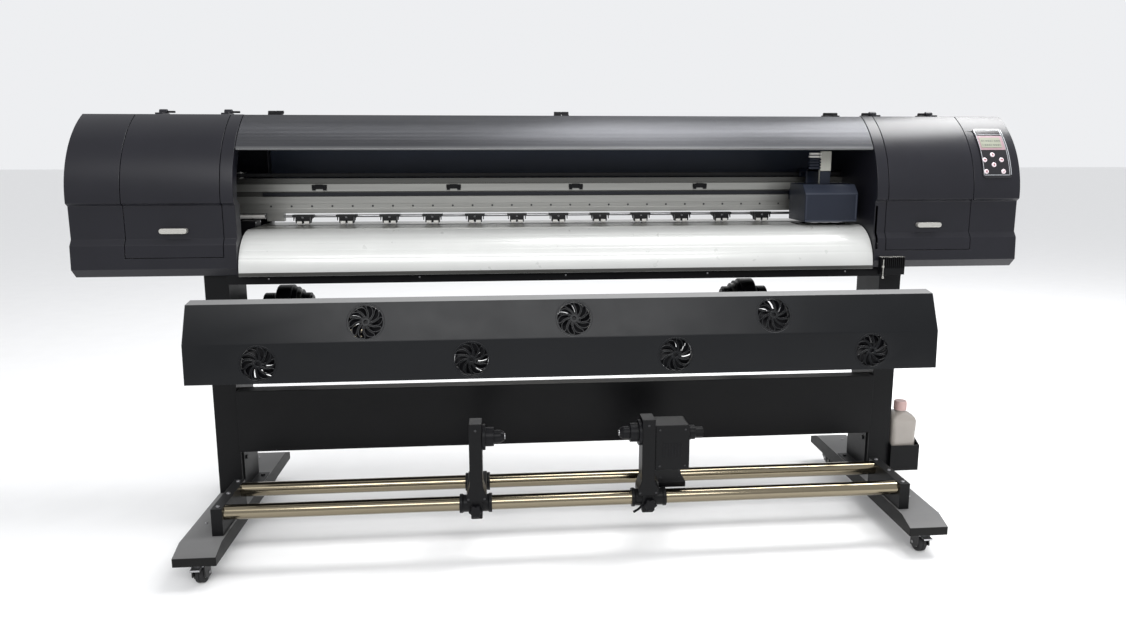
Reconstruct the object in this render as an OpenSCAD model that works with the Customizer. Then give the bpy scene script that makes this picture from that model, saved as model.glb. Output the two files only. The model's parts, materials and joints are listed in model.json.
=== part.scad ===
// Wide-format roll printer on a stand, with a front fan dryer, a take-up unit and rear roll holders.
// X runs along the machine, -Y is the front, Z is up. The origin is on the floor under the middle.

/* [Body] */
// Length of the printer body over both end modules
body_length = 2650; // [2500:10:2800]
// Height of the flat top above the floor
body_top = 1181; // [1175:1:1187]
// Underside of the end modules
body_base = 743; // [740:1:745]
// Radius of the curved front covers
cover_radius = 273; // [270:1:276]
// Half distance between the inner faces of the end modules
module_inner = 895; // [893:1:897]
// Sheet thickness of the plastic shells
shell = 3; // [2:0.5:4]

/* [Print zone] */
// Height of the platen's top face
platen_top = 860; // [858:1:862]
// Radius of the grit feed roller
feed_radius = 12; // [10:0.5:13]
// Radius of each pinch roller
pinch_radius = 8; // [7:0.5:9]
// Number of pinch roller arms
pinch_count = 12; // [6:1:12]
// Distance between neighbouring pinch arms
pinch_pitch = 127.3; // [110:0.1:128]

/* [Dryer] */
// Half length of the dryer hood
hood_half = 948; // [940:1:960]
// Distance between neighbouring fans of one row
fan_pitch = 515; // [480:1:530]
// Radius of each fan opening
fan_radius = 46; // [40:1:46]

/* [Stand] */
// Middle of each leg and foot from the centre plane
leg_x = 965.5; // [960:0.5:970]
// Width of a leg
leg_width = 65; // [60:1:70]
// Half length of a foot, front to back
foot_half = 340; // [330:1:360]
// Top face of a foot
foot_top = 106; // [104:1:110]
// Radius of a caster wheel
wheel_radius = 25; // [23:1:25]

/* [Take-up] */
// Radius of the support tubes
tube_radius = 19; // [18:0.5:20]
// Height of the take-up tubes
tube_z = 159; // [155:1:165]
// Radius of the step that carries a two inch core on the take-up
takeup_core = 25; // [24:0.5:25]
// Radius of the step that carries a three inch core on the rear holders
rear_core = 37.5; // [36:0.5:38]

/* [Hidden] */
$fn = 48;
run = 0.05;        // radial clearance of a running fit
slide_fit = 0.08;  // radial clearance of a clamp that slides on its tube

// side outline of the body, in Y and Z
arc_y = 234.5;
arc_z = 947;
back_y = 330;
lip_y = -38.5;
recess_y = -28;
recess_z = [846, 935];
lip_z = [830, 943];
belly_y = -42;
belly_z = body_base + 23;
arc_low = 180 + asin((arc_z - lip_z[1]) / cover_radius);
rim_depth = 35;

// hinged covers
cover_inner = 928;
cover_outer = 1185;
cover_base = 795;
cover_back = 128;
cover_gap = 1.5;
lip_angle = 148.9;
hinge_y = 140;
hinge_z = body_top + 8;
hinge_half = 22;
pin_radius = 3;
side_hinges = [939, 1117];
centre_hinges = [-818, 0, 818];

// print zone
feed_y = 185;
feed_z = platen_top + 0.4 - feed_radius;
pinch_z = feed_z + feed_radius + pinch_radius + 0.1;
pinch_first = -770;
roller_x = 10.5;
lift_y = 222;
lift_z = 884;
lift_radius = 4;
beam_front = 205;
beam_back = 275;
beam_base = 894;
beam_top = 998;
beam_left = -986;
rail_z = 951;
carriage_x = [710, 870];
belt_y = 240;
belt_z = 1007;
pulley_x = 962;
pulley_radius = 14;
guide_radius = 110;

// pinch lift lever
lever_x = 901;
lever_y = 60;
lever_z = 861;
lever_reach = 112;
lever_rest = 27;

// dryer hood outline and fans
hood_top_back = [-235, 717];
hood_top_front = [-270, 711.5];
hood_ridge = [-308, 620];
hood_bottom = [-311, 521];
hood_sheet = 2;
upper_tilt = atan2(hood_top_front[0] - hood_ridge[0], hood_top_front[1] - hood_ridge[1]);
lower_tilt = atan2(hood_ridge[0] - hood_bottom[0], hood_ridge[1] - hood_bottom[1]);

// stand
leg_front = -6;
leg_back = 140;
beam2_base = 231;
beam2_top = 411;
foot_x = 947.4;
foot_base = 65;
caster_y = 305;
trail = 12;
tube_front_y = -240;
tube_rear_y = -105;
back_tube_y = [215, 305];
back_tube_z = 505;

// take-up hubs and roll holders
hub_y = tube_front_y;
hub_z = 342;
axle_radius = 8;
holder_y = (back_tube_y[0] + back_tube_y[1]) / 2;
holder_z = 604;

// control panel
panel_x = [1211, 1299];
panel_angle = [11.6, 45.9];
key_radius = 7;

// bottle and tray
tray_x = [998, 1088];
tray_y = [-20, 86];
tray_base = 108;

charcoal = [0.27, 0.27, 0.29];
black = [0.10, 0.10, 0.11];
steel = [0.72, 0.72, 0.74];
alu = [0.80, 0.80, 0.78];
white = [0.93, 0.93, 0.92];
navy = [0.20, 0.22, 0.30];

function arc(cy, cz, r, a0, a1, n) = [for (i = [0:n]) let (a = a0 + (a1 - a0) * i / n)
    [cy + r * cos(a), cz + r * sin(a)]];

// angle on the cover arc where it meets the flat top, for a sheet set in by t
function top_angle(t) = 180 - asin((body_top - t - arc_z) / (cover_radius - t));

function body_outline(t) = concat(
    [[back_y - t, body_base + t], [-20 + 0.4 * t, body_base + t], [belly_y + t, belly_z + 0.4 * t],
     [lip_y + t, lip_z[0] - 0.5 * t], [recess_y + t, recess_z[0] - 0.5 * t],
     [recess_y + t, recess_z[1] + 0.5 * t]],
    arc(arc_y, arc_z, cover_radius - t, arc_low, top_angle(t), 24),
    arc(back_y - 30, body_top - 30, 30 - t, 90, 0, 6));

// extrudes an outline given in Y and Z from x0 to x1
module slab(x0, x1) {
    translate([x0, 0, 0]) rotate([90, 0, 90]) linear_extrude(x1 - x0) children();
}

module bar_x(x0, x1, y, z, r) {
    translate([x0, y, z]) rotate([0, 90, 0]) cylinder(r = r, h = x1 - x0);
}

module box(low, high) {
    translate(low) cube(high - low);
}

module both_sides() {
    children();
    mirror([1, 0, 0]) children();
}

module ring_sector(r0, r1, a0, a1) {
    polygon(concat(arc(arc_y, arc_z, r1, a0, a1, 24), arc(arc_y, arc_z, r0, a1, a0, 24)));
}

// ---- stand ----

module foot() {
    rake = [[-foot_half, foot_base], [foot_half, foot_base], [foot_half, foot_top - 18],
            [foot_half - 48, foot_top], [-foot_half + 48, foot_top], [-foot_half, foot_top - 18]];
    difference() {
        slab(foot_x - 53, foot_x + 53) polygon(rake);
        box([foot_x - 49, -foot_half + 52, foot_base + 4], [foot_x + 49, foot_half - 52, foot_top - 4]);
        box([foot_x - 49, -230, foot_base - 1], [foot_x + 49, 230, foot_base + 5]);
        for (y = [-caster_y, caster_y])
            translate([foot_x, y, foot_base - 1]) cylinder(r = 6 + run, h = 23);
    }
}

module feet() {
    color(charcoal) both_sides() foot();
}

module leg() {
    x0 = leg_x - leg_width / 2;
    difference() {
        box([x0, leg_front, foot_top], [x0 + leg_width, leg_back, body_base]);
        box([x0 + 4, leg_front + 4, foot_top - 1], [x0 + leg_width - 4, leg_back - 4, body_base + 1]);
    }
}

// angle plate that bolts a leg to the inner ledge of its foot
module gusset() {
    x1 = leg_x - leg_width / 2;
    box([x1 - 4, 8, foot_top], [x1, 126, foot_top + 120]);
    box([x1 - 36, 8, foot_top], [x1 - 4, 126, foot_top + 4]);
    for (y = [28, 106]) {
        bar_x(x1 - 8, x1 - 4, y, foot_top + 95, 6);
        translate([x1 - 22, y, foot_top + 4]) cylinder(r = 6, h = 4);
    }
}

module legs() {
    color(charcoal) both_sides() {
        leg();
        gusset();
    }
}

module crossbeam() {
    x1 = leg_x - leg_width / 2;
    color(charcoal) difference() {
        box([-x1, -14, beam2_base], [x1, 30, beam2_top]);
        box([-x1 - 1, -11, beam2_base + 3], [x1 + 1, 27, beam2_top - 3]);
    }
}

module support_tubes() {
    color(steel) {
        for (y = [tube_front_y, tube_rear_y]) difference() {
            bar_x(-914, 914, y, tube_z, tube_radius);
            bar_x(-915, 915, y, tube_z, tube_radius - 2);
        }
        for (y = back_tube_y) difference() {
            bar_x(-936, 936, y, back_tube_z, tube_radius);
            bar_x(-937, 937, y, back_tube_z, tube_radius - 2);
        }
    }
}

// block on a foot that holds the ends of the two take-up tubes
module takeup_bracket() {
    difference() {
        box([900, -265, foot_top], [928, -80, foot_top + 73]);
        for (y = [tube_front_y, tube_rear_y]) bar_x(899, 914, y, tube_z, tube_radius);
    }
}

// plate bolted to the back of a leg that holds the ends of the two rear tubes
module rear_bracket() {
    x0 = leg_x - leg_width / 2;
    outline = [[leg_back, 460], [back_tube_y[1] + 30, 470], [back_tube_y[1] + 30, 545],
               [back_tube_y[0] - 20, 560], [leg_back, 600]];
    slab(936, 944) polygon(outline);
    box([936, leg_back, 460], [x0 + leg_width - 2, leg_back + 6, 600]);
}

// arm from a leg to the inside of the dryer hood
module hood_arm() {
    x1 = leg_x - leg_width / 2;
    outline = [[60, 552], [60, 600], [-260, 600], [-305.9, 612], [-308.1, 540], [-250, 552]];
    slab(x1 - 6, x1) polygon(outline);
}

// ribbed relay housing under the front of the right end module
module relay_block() {
    x0 = 908;
    difference() {
        union() {
            box([x0, -62, 727], [x0 + 70, -43, 778]);
            box([x0 + 26, -44, 720], [x0 + 70, leg_front, 741]);
        }
        for (i = [0:10]) box([x0 + 4 + i * 6, -63, 745], [x0 + 7 + i * 6, -48, 779]);
    }
}

module stand_brackets() {
    color(charcoal) {
        both_sides() {
            takeup_bracket();
            rear_bracket();
            hood_arm();
        }
        relay_block();
    }
}

// ---- casters ----

module caster_fork(sx, sy) {
    color(steel) translate([sx * foot_x, sy * caster_y, 0]) mirror([0, sy < 0 ? 1 : 0, 0]) difference() {
        union() {
            translate([0, 0, foot_base - 12]) cylinder(r = 20, h = 8);
            translate([0, 0, foot_base - 5]) cylinder(r = 9, h = 4.5);
            translate([0, 0, foot_base - 5]) cylinder(r = 6, h = 24);
            for (s = [-1, 1]) box([s * 15.5 - 1.5, -trail - 12, 13], [s * 15.5 + 1.5, 14, foot_base - 6]);
            bar_x(-19, 19, -trail, wheel_radius, 4);
            box([-12, 15, foot_base - 14], [12, 36, foot_base - 9]);
        }
        for (s = [-1, 1]) translate([s * 15.5, 14, 10]) rotate([0, 90, 0])
            cylinder(r = 14, h = 5, center = true);
    }
}

module caster_wheel(sx, sy) {
    translate([sx * foot_x, sy * (caster_y - trail), wheel_radius]) rotate([0, 90, 0]) color(black)
        difference() {
            rotate_extrude($fn = 64) polygon([[4 + run, -11], [wheel_radius - 3, -11], [wheel_radius, -8],
                [wheel_radius, 8], [wheel_radius - 3, 11], [4 + run, 11]]);
        }
}

// ---- body shells ----

// one end module, drawn on the +X side
module housing_shell() {
    outer_x = body_length / 2;
    difference() {
        slab(module_inner, outer_x) polygon(body_outline(0));
        slab(module_inner + shell, outer_x - shell) polygon(body_outline(shell));
        slab(cover_inner, cover_outer) polygon([[-60, cover_base], [cover_back + 3, cover_base],
            [cover_back + 3, body_top + 9], [-60, body_top + 9]]);
        // ways through the inner wall for the belt and for the roller journal
        box([module_inner - 1, belt_y - 26, beam_top + 1], [module_inner + 4, belt_y + 26, beam_top + 20]);
        bar_x(module_inner - 1, module_inner + 4, feed_y, feed_z, 6 + run);
    }
}

// the left module is open to the print zone behind a rim, so that the beam runs on into it
module left_housing() {
    r = cover_radius - rim_depth;
    top = body_top - rim_depth;
    color(charcoal) mirror([1, 0, 0]) difference() {
        housing_shell();
        slab(module_inner - 1, module_inner + shell + 0.5) polygon(concat(
            [[recess_y + 40, platen_top - 13], [back_y - 30, platen_top - 13], [back_y - 30, top]],
            arc(arc_y, arc_z, r, 180 - asin((top - arc_z) / r), 180, 12), [[recess_y + 40, recess_z[1]]]));
    }
}

module right_housing() {
    color(charcoal) {
        difference() {
            housing_shell();
            // slot for the pinch lift lever
            box([lever_x - 3, -70, lever_z - 62], [lever_x + 3, -20, lever_z + 62]);
            // window behind the keys and the display
            slab(panel_x[0] + 1, panel_x[1] - 1) ring_sector(cover_radius - 8, cover_radius + 1,
                180 - panel_angle[1] + 2, 180 - panel_angle[0] - 2);
        }
        bar_x(module_inner + shell, lever_x + 4, lever_y, lever_z, 5);
    }
}

module rear_cover() {
    color(charcoal) difference() {
        slab(-module_inner, module_inner) polygon(body_outline(0));
        slab(-module_inner - 1, module_inner + 1) polygon(body_outline(shell));
        box([-module_inner - 1, -80, body_base - 1], [module_inner + 1, cover_back + 4, body_top + 9]);
        box([-module_inner - 1, -80, body_base - 1], [module_inner + 1, back_y + 9, 905]);
    }
}

module hinge_block(x) {
    difference() {
        box([x - hinge_half, cover_back + 4.5, body_top], [x - 0.3, hinge_y + 16, body_top + 16]);
        bar_x(x - hinge_half - 1, x, hinge_y, hinge_z, pin_radius);
    }
    bar_x(x - hinge_half, x + hinge_half - 1, hinge_y, hinge_z, pin_radius);
}

module hinges() {
    color(black) {
        for (x = centre_hinges) hinge_block(x);
        both_sides() for (x = side_hinges) hinge_block(x);
    }
}

// knuckle on a cover, turning on the pin beside its block
module hinge_ear(x) {
    difference() {
        union() {
            bar_x(x + 0.3, x + hinge_half - 1, hinge_y, hinge_z, 7.5);
            box([x + 0.3, cover_back - 22, body_top - 1], [x + hinge_half - 1, hinge_y - 5, body_top + 5]);
        }
        bar_x(x, x + hinge_half, hinge_y, hinge_z, pin_radius + run);
        box([x, cover_back, body_top - 2], [x + hinge_half, hinge_y, body_top + 0.6]);
    }
}

// sheet of the body outline between two heights, ending at the hinge line
module cover_sheet(x0, x1, low_z) {
    difference() {
        slab(x0, x1) polygon(body_outline(0));
        slab(x0 - 1, x1 + 1) polygon(body_outline(2.5));
        box([x0 - 1, -80, 0], [x1 + 1, back_y + 9, low_z]);
        box([x0 - 1, cover_back, 0], [x1 + 1, back_y + 9, body_top + 9]);
    }
}

module side_cover() {
    handle_x = 1056;
    handle_z = 868;
    cover_sheet(cover_inner + cover_gap, cover_outer - cover_gap, cover_base + cover_gap);
    for (x = side_hinges) hinge_ear(x);
    translate([handle_x, recess_y + 1, handle_z]) rotate([90, 0, 0]) linear_extrude(15)
        hull() for (s = [-1, 1]) translate([s * 29, 0]) circle(r = 7, $fn = 32);
}

module left_cover() {
    color(charcoal) mirror([1, 0, 0]) side_cover();
}

module right_cover() {
    color(charcoal) side_cover();
}

module centre_cover() {
    half = module_inner - 2.5;
    lip_r = cover_radius - 2.5;
    color([0.5, 0.5, 0.52]) {
        cover_sheet(-half, half, arc_z + cover_radius * sin(lip_angle));
        for (x = centre_hinges) hinge_ear(x);
        bar_x(-half, half, arc_y + lip_r * cos(lip_angle), arc_z + lip_r * sin(lip_angle) - 1.5, 4);
    }
}

module chassis_rail() {
    x1 = leg_x - leg_width / 2;
    color(charcoal) {
        box([-x1, -20, 717], [x1, 300, 720]);
        box([-x1, -20, 720], [x1, -17, body_base]);
        box([-x1, 297, 720], [x1, 300, body_base]);
    }
}

// curved heater plates in front of and behind the platen
module media_guides() {
    top = platen_top + 1;
    color(white) {
        slab(-module_inner + 2, module_inner - 2) polygon(concat(
            [[70, top]], arc(70, top - guide_radius, guide_radius, 90, 180, 20), [[-40, 742], [-38, 742]],
            arc(70, top - guide_radius, guide_radius - 2, 180, 90, 20), [[70, top - 2]]));
        slab(-module_inner + 2, module_inner - 2) polygon(concat(
            arc(290, platen_top - 38, 38, 90, 0, 10), [[328, 745], [326, 745]],
            arc(290, platen_top - 38, 36, 0, 90, 10)));
    }
}

module platen() {
    color(alu) difference() {
        box([-module_inner, 71, platen_top - 12], [module_inner, 289.5, platen_top]);
        box([-812, feed_y - 14, platen_top - 13], [812, feed_y + 14, platen_top + 1]);
        box([carriage_x[0] + 4, 84, platen_top - 13], [carriage_x[1] - 4, 162, platen_top + 1]);
        bar_x(-module_inner - 1, module_inner + 1, feed_y, feed_z, feed_radius + 1);
    }
}

module capping_station() {
    x0 = carriage_x[0] + 8;
    x1 = carriage_x[1] - 8;
    color(black) {
        difference() {
            box([x0, 88, platen_top - 50], [x1, 158, platen_top + 2]);
            for (x = [x0 + 16, x0 + 60, x0 + 104])
                box([x, 98, platen_top - 8], [x + 24, 148, platen_top + 3]);
        }
        box([x0 + 3, 70, platen_top - 80], [x1 - 3, 166, platen_top - 50]);
    }
}

module feed_roller() {
    color([0.45, 0.45, 0.47]) {
        bar_x(-806, 806, feed_y, feed_z, feed_radius);
        bar_x(-940, 940, feed_y, feed_z, 6);
    }
}

module pinch_arm(x) {
    outline = [[174, 874], [177, 892], [203, 891], [232, 888], [232, 879],
               [205, 876], [200, 866], [180, 866]];
    difference() {
        slab(x - 21, x + 21) polygon(outline);
        // pockets for the two rollers
        for (s = [-1, 1]) {
            bar_x(x + s * roller_x - 8, x + s * roller_x + 8, feed_y, pinch_z, pinch_radius + 0.6);
            box([x + s * roller_x - 8, feed_y - 12, pinch_z - 9],
                [x + s * roller_x + 8, feed_y + 9, pinch_z]);
        }
    }
    slab(x - 30, x + 30) polygon([[175, 885], [177, 892], [203, 891], [203, 885]]);
    bar_x(x - 20, x + 20, feed_y, pinch_z, 2);
}

module pinch_arms() {
    color(black) {
        for (i = [0:pinch_count - 1]) pinch_arm(pinch_first + i * pinch_pitch);
    }
    color(steel) {
        difference() {
            bar_x(-890, 890, lift_y, lift_z, lift_radius);
            for (i = [0:pinch_count - 1]) let (x = pinch_first + i * pinch_pitch)
                box([x - 21, 200, 870], [x + 21, 240, 895]);
        }
        bar_x(-966, -889, lift_y, lift_z, lift_radius + 3.5);
    }
}

module pinch_rollers() {
    color(white) for (i = [0:pinch_count - 1], s = [-1, 1])
        let (x = pinch_first + i * pinch_pitch + s * roller_x) difference() {
            bar_x(x - 7.5, x + 7.5, feed_y, pinch_z, pinch_radius);
            bar_x(x - 8, x + 8, feed_y, pinch_z, 2 + run);
        }
}

module carriage_beam() {
    grooves = [[beam_base + 14, beam_base + 28, 2], [beam_base + 50, beam_base + 65, 5],
               [beam_base + 87, beam_base + 90, 2]];
    color(alu) {
        difference() {
            box([beam_left, beam_front, beam_base], [module_inner, beam_back, beam_top]);
            box([beam_left - 1, beam_front + 10, beam_base + 4],
                [module_inner + 1, beam_back - 4, beam_top - 4]);
            for (g = grooves) box([beam_left - 1, beam_front - 1, g[0]],
                                  [module_inner + 1, beam_front + g[2], g[1]]);
        }
        // pin of the idler pulley
        translate([-pulley_x, belt_y, beam_top]) cylinder(r = 4, h = 20);
    }
    color(black) for (x = [-723, -324, 49, 437])
        box([x - 22, beam_front - 6, beam_base + 68], [x + 22, beam_front, beam_base + 86]);
    // brackets that carry the lift shaft of the pinch arms
    color(alu) both_sides() difference() {
        box([832, beam_front, 866], [882, beam_front + 26, beam_base]);
        bar_x(831, 883, lift_y, lift_z, lift_radius + run);
    }
}

module guide_rail() {
    color(steel) box([-888, beam_front - 7, rail_z - 5], [888, beam_front + 5, rail_z + 5]);
}

// flat toothed belt around both pulleys
module drive_belt() {
    color(black) translate([0, belt_y, belt_z - 5]) linear_extrude(10) difference() {
        hull() for (s = [-1, 1]) translate([s * pulley_x, 0]) circle(r = pulley_radius + 2);
        hull() for (s = [-1, 1]) translate([s * pulley_x, 0]) circle(r = pulley_radius + 0.2);
    }
}

module pulley(x, bore, shaft) {
    color(alu) translate([x, belt_y, belt_z]) difference() {
        union() {
            translate([0, 0, -5.5]) cylinder(r = pulley_radius, h = 11);
            for (z = [-8.5, 6.5]) translate([0, 0, z]) cylinder(r = pulley_radius + 3, h = 2);
            translate([0, 0, -8.5]) cylinder(r = 9, h = 17);
            if (shaft > 0) translate([0, 0, -shaft]) cylinder(r = 4, h = shaft);
        }
        if (bore > 0) translate([0, 0, -20]) cylinder(r = bore, h = 40);
    }
}

module motor_pulley() {
    pulley(pulley_x, 0, 30);
}

module idler_pulley() {
    pulley(-pulley_x, 4 + run, 0);
}

// carriage motor at the right, feed motor on the left roller journal
module drive_motors() {
    color(black) {
        difference() {
            box([pulley_x - 29, belt_y - 29, belt_z - 90], [pulley_x + 29, belt_y + 29, belt_z - 12]);
            translate([pulley_x, belt_y, belt_z - 34]) cylinder(r = 4 + run, h = 30);
        }
        difference() {
            box([-948, feed_y - 27, feed_z - 27], [-902, feed_y + 27, feed_z + 27]);
            bar_x(-944, -901, feed_y, feed_z, 6 + run);
        }
    }
}

module carriage() {
    x0 = carriage_x[0];
    x1 = carriage_x[1];
    color(navy) difference() {
        union() {
            slab(x0, x1) polygon([[34, 872], [30, 878], [30, 953], [33, 958], [57, 982],
                [160, 982], [160, 872]]);
            box([x0 + 12, 159, rail_z - 22], [x1 - 12, beam_front - 3, rail_z + 9]);
            // arm over the beam to the belt
            box([x0 + 50, 159, 976], [x1 - 50, 168, 1024]);
            box([x0 + 50, 159, 1014.5], [x1 - 50, 236, 1024]);
            box([x0 + 50, 212, beam_top + 1.5], [x1 - 50, 222.5, 1015]);
        }
        box([x0, beam_front - 7.3, rail_z - 5.3], [x1, beam_front, rail_z + 5.3]);
    }
    color(alu) {
        box([x0 + 66, 92, 982], [x0 + 100, 104, 1079]);
        box([x0 + 30, 60, 866], [x1 - 30, 140, 872]);
    }
}

module ink_tanks() {
    color(white) for (i = [0:3])
        box([-1305 + i * 26, 60, 780], [-1283 + i * 26, 260, 960]);
}

// ---- pinch lift lever ----

module pinch_lever() {
    color(black) translate([lever_x, lever_y, lever_z]) rotate([lever_rest, 0, 0]) difference() {
        union() {
            rotate([0, 90, 0]) cylinder(r = 12, h = 3, center = true);
            box([-1.5, -lever_reach, -5], [1.5, 0, 5]);
            translate([0, -lever_reach, 0]) rotate([0, 90, 0]) cylinder(r = 7, h = 4, center = true);
        }
        rotate([0, 90, 0]) cylinder(r = 5 + run, h = 9, center = true);
    }
}

// ---- control panel ----

keys = [[1246, 26.1], [1220, 22.8], [1271, 22.8], [1246, 19.7], [1221, 15.5], [1273, 15.5]];

// places children on the cover arc at a height angle, with +Z pointing outward
module on_arc(x, angle) {
    translate([x, arc_y, arc_z]) rotate([90 - angle, 0, 0]) children();
}

module control_panel() {
    r0 = cover_radius;
    color(black) difference() {
        slab(panel_x[0], panel_x[1]) ring_sector(r0, r0 + 3, 180 - panel_angle[1], 180 - panel_angle[0]);
        for (k = keys) on_arc(k[0], k[1]) translate([0, 0, r0 - 5]) cylinder(r = key_radius + 0.3, h = 20);
    }
    color([0.72, 0.75, 0.68]) slab(1217, 1288) ring_sector(r0 + 3, r0 + 4.5, 180 - 38.5, 180 - 30.4);
}

module key(i) {
    color(white) on_arc(keys[i][0], keys[i][1]) translate([0, 0, cover_radius - 2])
        cylinder(r = key_radius, h = 7);
}

module key_up() key(0);
module key_left() key(1);
module key_right() key(2);
module key_down() key(3);
module key_cancel() key(4);
module key_enter() key(5);

// ---- dryer ----

// places children on a hood face with +Z pointing outward
module on_hood(i) {
    upper = i % 2 == 1;
    mid = upper ? (hood_top_front + hood_ridge) / 2 : (hood_ridge + hood_bottom) / 2;
    tilt = upper ? upper_tilt : lower_tilt;
    translate([(i - 3) * fan_pitch / 2, mid[0], mid[1]]) rotate([90 - tilt, 0, 0]) children();
}

module dryer_hood() {
    color(charcoal) difference() {
        union() {
            slab(-hood_half, hood_half) polygon([hood_top_back, hood_top_front, hood_ridge, hood_bottom,
                [hood_bottom[0] + 12, hood_bottom[1]], [hood_bottom[0] + 12, hood_bottom[1] + hood_sheet],
                hood_bottom + [hood_sheet, hood_sheet], hood_ridge + [hood_sheet, -0.4],
                hood_top_front + [1.4, -1.9], hood_top_back - [0, hood_sheet]]);
            both_sides() slab(hood_half - 2, hood_half) polygon([hood_top_back, hood_top_front, hood_ridge,
                hood_bottom, hood_bottom + [26, 0], hood_top_back - [0, 80]]);
        }
        for (i = [0:6]) on_hood(i) translate([0, 0, -10]) cylinder(r = fan_radius, h = 20);
    }
}

// one curved petal slot of a fan grille
module petal(a) {
    rotate(a) difference() {
        translate([22, 8]) circle(r = 19, $fn = 32);
        translate([20, 14]) circle(r = 20, $fn = 32);
        circle(r = 13, $fn = 32);
    }
}

module fan_grille() {
    translate([0, 0, -hood_sheet]) linear_extrude(hood_sheet) difference() {
        circle(r = fan_radius - 0.05);
        intersection() {
            circle(r = fan_radius - 5);
            for (k = [0:9]) petal(k * 36);
        }
    }
}

module fan_frame() {
    translate([0, 0, -28]) difference() {
        linear_extrude(25.5) difference() {
            square([92, 92], center = true);
            circle(r = 43);
        }
        for (sx = [-1, 1], sy = [-1, 1])
            translate([sx * 41, sy * 41, -1]) cylinder(r = 2.2, h = 30, $fn = 24);
    }
    translate([0, 0, -28]) {
        cylinder(r = 16, h = 4);
        for (k = [0:2]) rotate([0, 0, k * 120 + 45]) box([10, -2, 0], [43.5, 2, 4]);
        cylinder(r = 2.5, h = 18);
    }
}

module fan_frames() {
    color(black) for (i = [0:6]) on_hood(i) {
        fan_frame();
        fan_grille();
    }
}

module fan(i) {
    color([0.2, 0.2, 0.22]) on_hood(i) translate([0, 0, -23]) difference() {
        union() {
            cylinder(r = 17, h = 17);
            for (k = [0:6]) rotate([0, 0, k * 360 / 7]) rotate([40, 0, 0])
                box([15, -1, -1], [40, 1, 15]);
        }
        translate([0, 0, -1]) cylinder(r = 2.5 + run, h = 15);
        translate([0, 0, -11]) cylinder(r = 60, h = 11);
        translate([0, 0, 18]) cylinder(r = 60, h = 11);
    }
}

module fan_1() fan(0);
module fan_2() fan(1);
module fan_3() fan(2);
module fan_4() fan(3);
module fan_5() fan(4);
module fan_6() fan(5);
module fan_7() fan(6);

// ---- take-up and roll holders ----

// clamp base that slides on both take-up tubes, with an upright arm
module post_base(front_x, arm_x, link_x, arm_top, clamp_top) {
    difference() {
        union() {
            box([front_x[0], -265, 136], [front_x[1], -214, clamp_top]);
            box([arm_x[0], -267, 124], [arm_x[1], -213, arm_top]);
            box([link_x[0], -216, 172], [link_x[1], -80, 190]);
            box([link_x[0], -131, 136], [link_x[1], -79, 173]);
        }
        for (y = [tube_front_y, tube_rear_y])
            bar_x(front_x[0] - 9, link_x[1] + 9, y, tube_z, tube_radius + slide_fit);
        children();
    }
}

module takeup_left_post() {
    color(charcoal) {
        post_base([-299, -214], [-271, -237], [-290, -222], 385, 209);
        bar_x(-237.5, -186, hub_y, hub_z, axle_radius);
    }
}

// stepped core hub around an axle along X, nose towards +X from x = 0
module core_hub() {
    bar_x(0, 8, 0, 0, takeup_core + 9);
    bar_x(8, 30, 0, 0, takeup_core);
    bar_x(30, 49, 0, 0, 17);
    translate([49, 0, 0]) rotate([0, 90, 0]) cylinder(r1 = 17, r2 = 12, h = 8);
}

module takeup_left_hub() {
    color(black) difference() {
        translate([-236.5, hub_y, hub_z]) core_hub();
        bar_x(-238, -185, hub_y, hub_z, axle_radius + run);
    }
}

module takeup_right_post() {
    color(charcoal) post_base([159, 252], [183, 218], [230, 321], 384, 196)
        bar_x(182, 219, hub_y, hub_z, axle_radius + run);
    color(navy) difference() {
        box([218, -265, 243], [310, -192, 367]);
        bar_x(217, 243, hub_y, hub_z, axle_radius + run);
    }
    color(black) {
        bar_x(310, 328, hub_y, hub_z - 4, 19);
        difference() {
            bar_x(328, 350, hub_y, hub_z - 4, 14);
            for (s = [-1, 1]) bar_x(327, 351, hub_y + s * 17, hub_z - 4, 8);
        }
    }
}

module takeup_right_hub() {
    color(black) {
        translate([182.5, hub_y, hub_z]) mirror([1, 0, 0]) core_hub();
        bar_x(182, 242, hub_y, hub_z, axle_radius);
    }
}

// rear roll holder, nose towards +X, drum starting at x
module roll_holder(x) {
    difference() {
        union() {
            slab(x, x + 60) polygon([[190, 476], [330, 476], [330, 536], [300, 600],
                [220, 600], [190, 536]]);
            bar_x(x, x + 46, holder_y, holder_z, 63);
            bar_x(x + 46, x + 60, holder_y, holder_z, 56);
            bar_x(x + 60, x + 72, holder_y, holder_z, 48);
            bar_x(x + 72, x + 97, holder_y, holder_z, rear_core);
            bar_x(x + 97, x + 102, holder_y, holder_z, 30);
            bar_x(x - 14, x + 1, holder_y, holder_z, 30);
            bar_x(x - 44, x - 14, holder_y, holder_z, 38);
        }
        for (y = back_tube_y) bar_x(x - 50, x + 110, y, back_tube_z, tube_radius + slide_fit);
    }
}

module rear_left_holder() {
    color(black) roll_holder(-873);
}

module rear_right_holder() {
    color(black) translate([-240, 0, 0]) mirror([1, 0, 0]) roll_holder(-873);
}

// ---- waste bottle ----

module bottle_tray() {
    color(charcoal) {
        difference() {
            slab(tray_x[0], tray_x[1]) polygon([[tray_y[0], tray_base], [tray_y[1], tray_base],
                [tray_y[1], 240], [tray_y[0], 188]]);
            box([tray_x[0] + 2, tray_y[0] + 2, tray_base + 3], [tray_x[1] - 2, tray_y[1] - 2, 260]);
        }
    }
}

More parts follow.
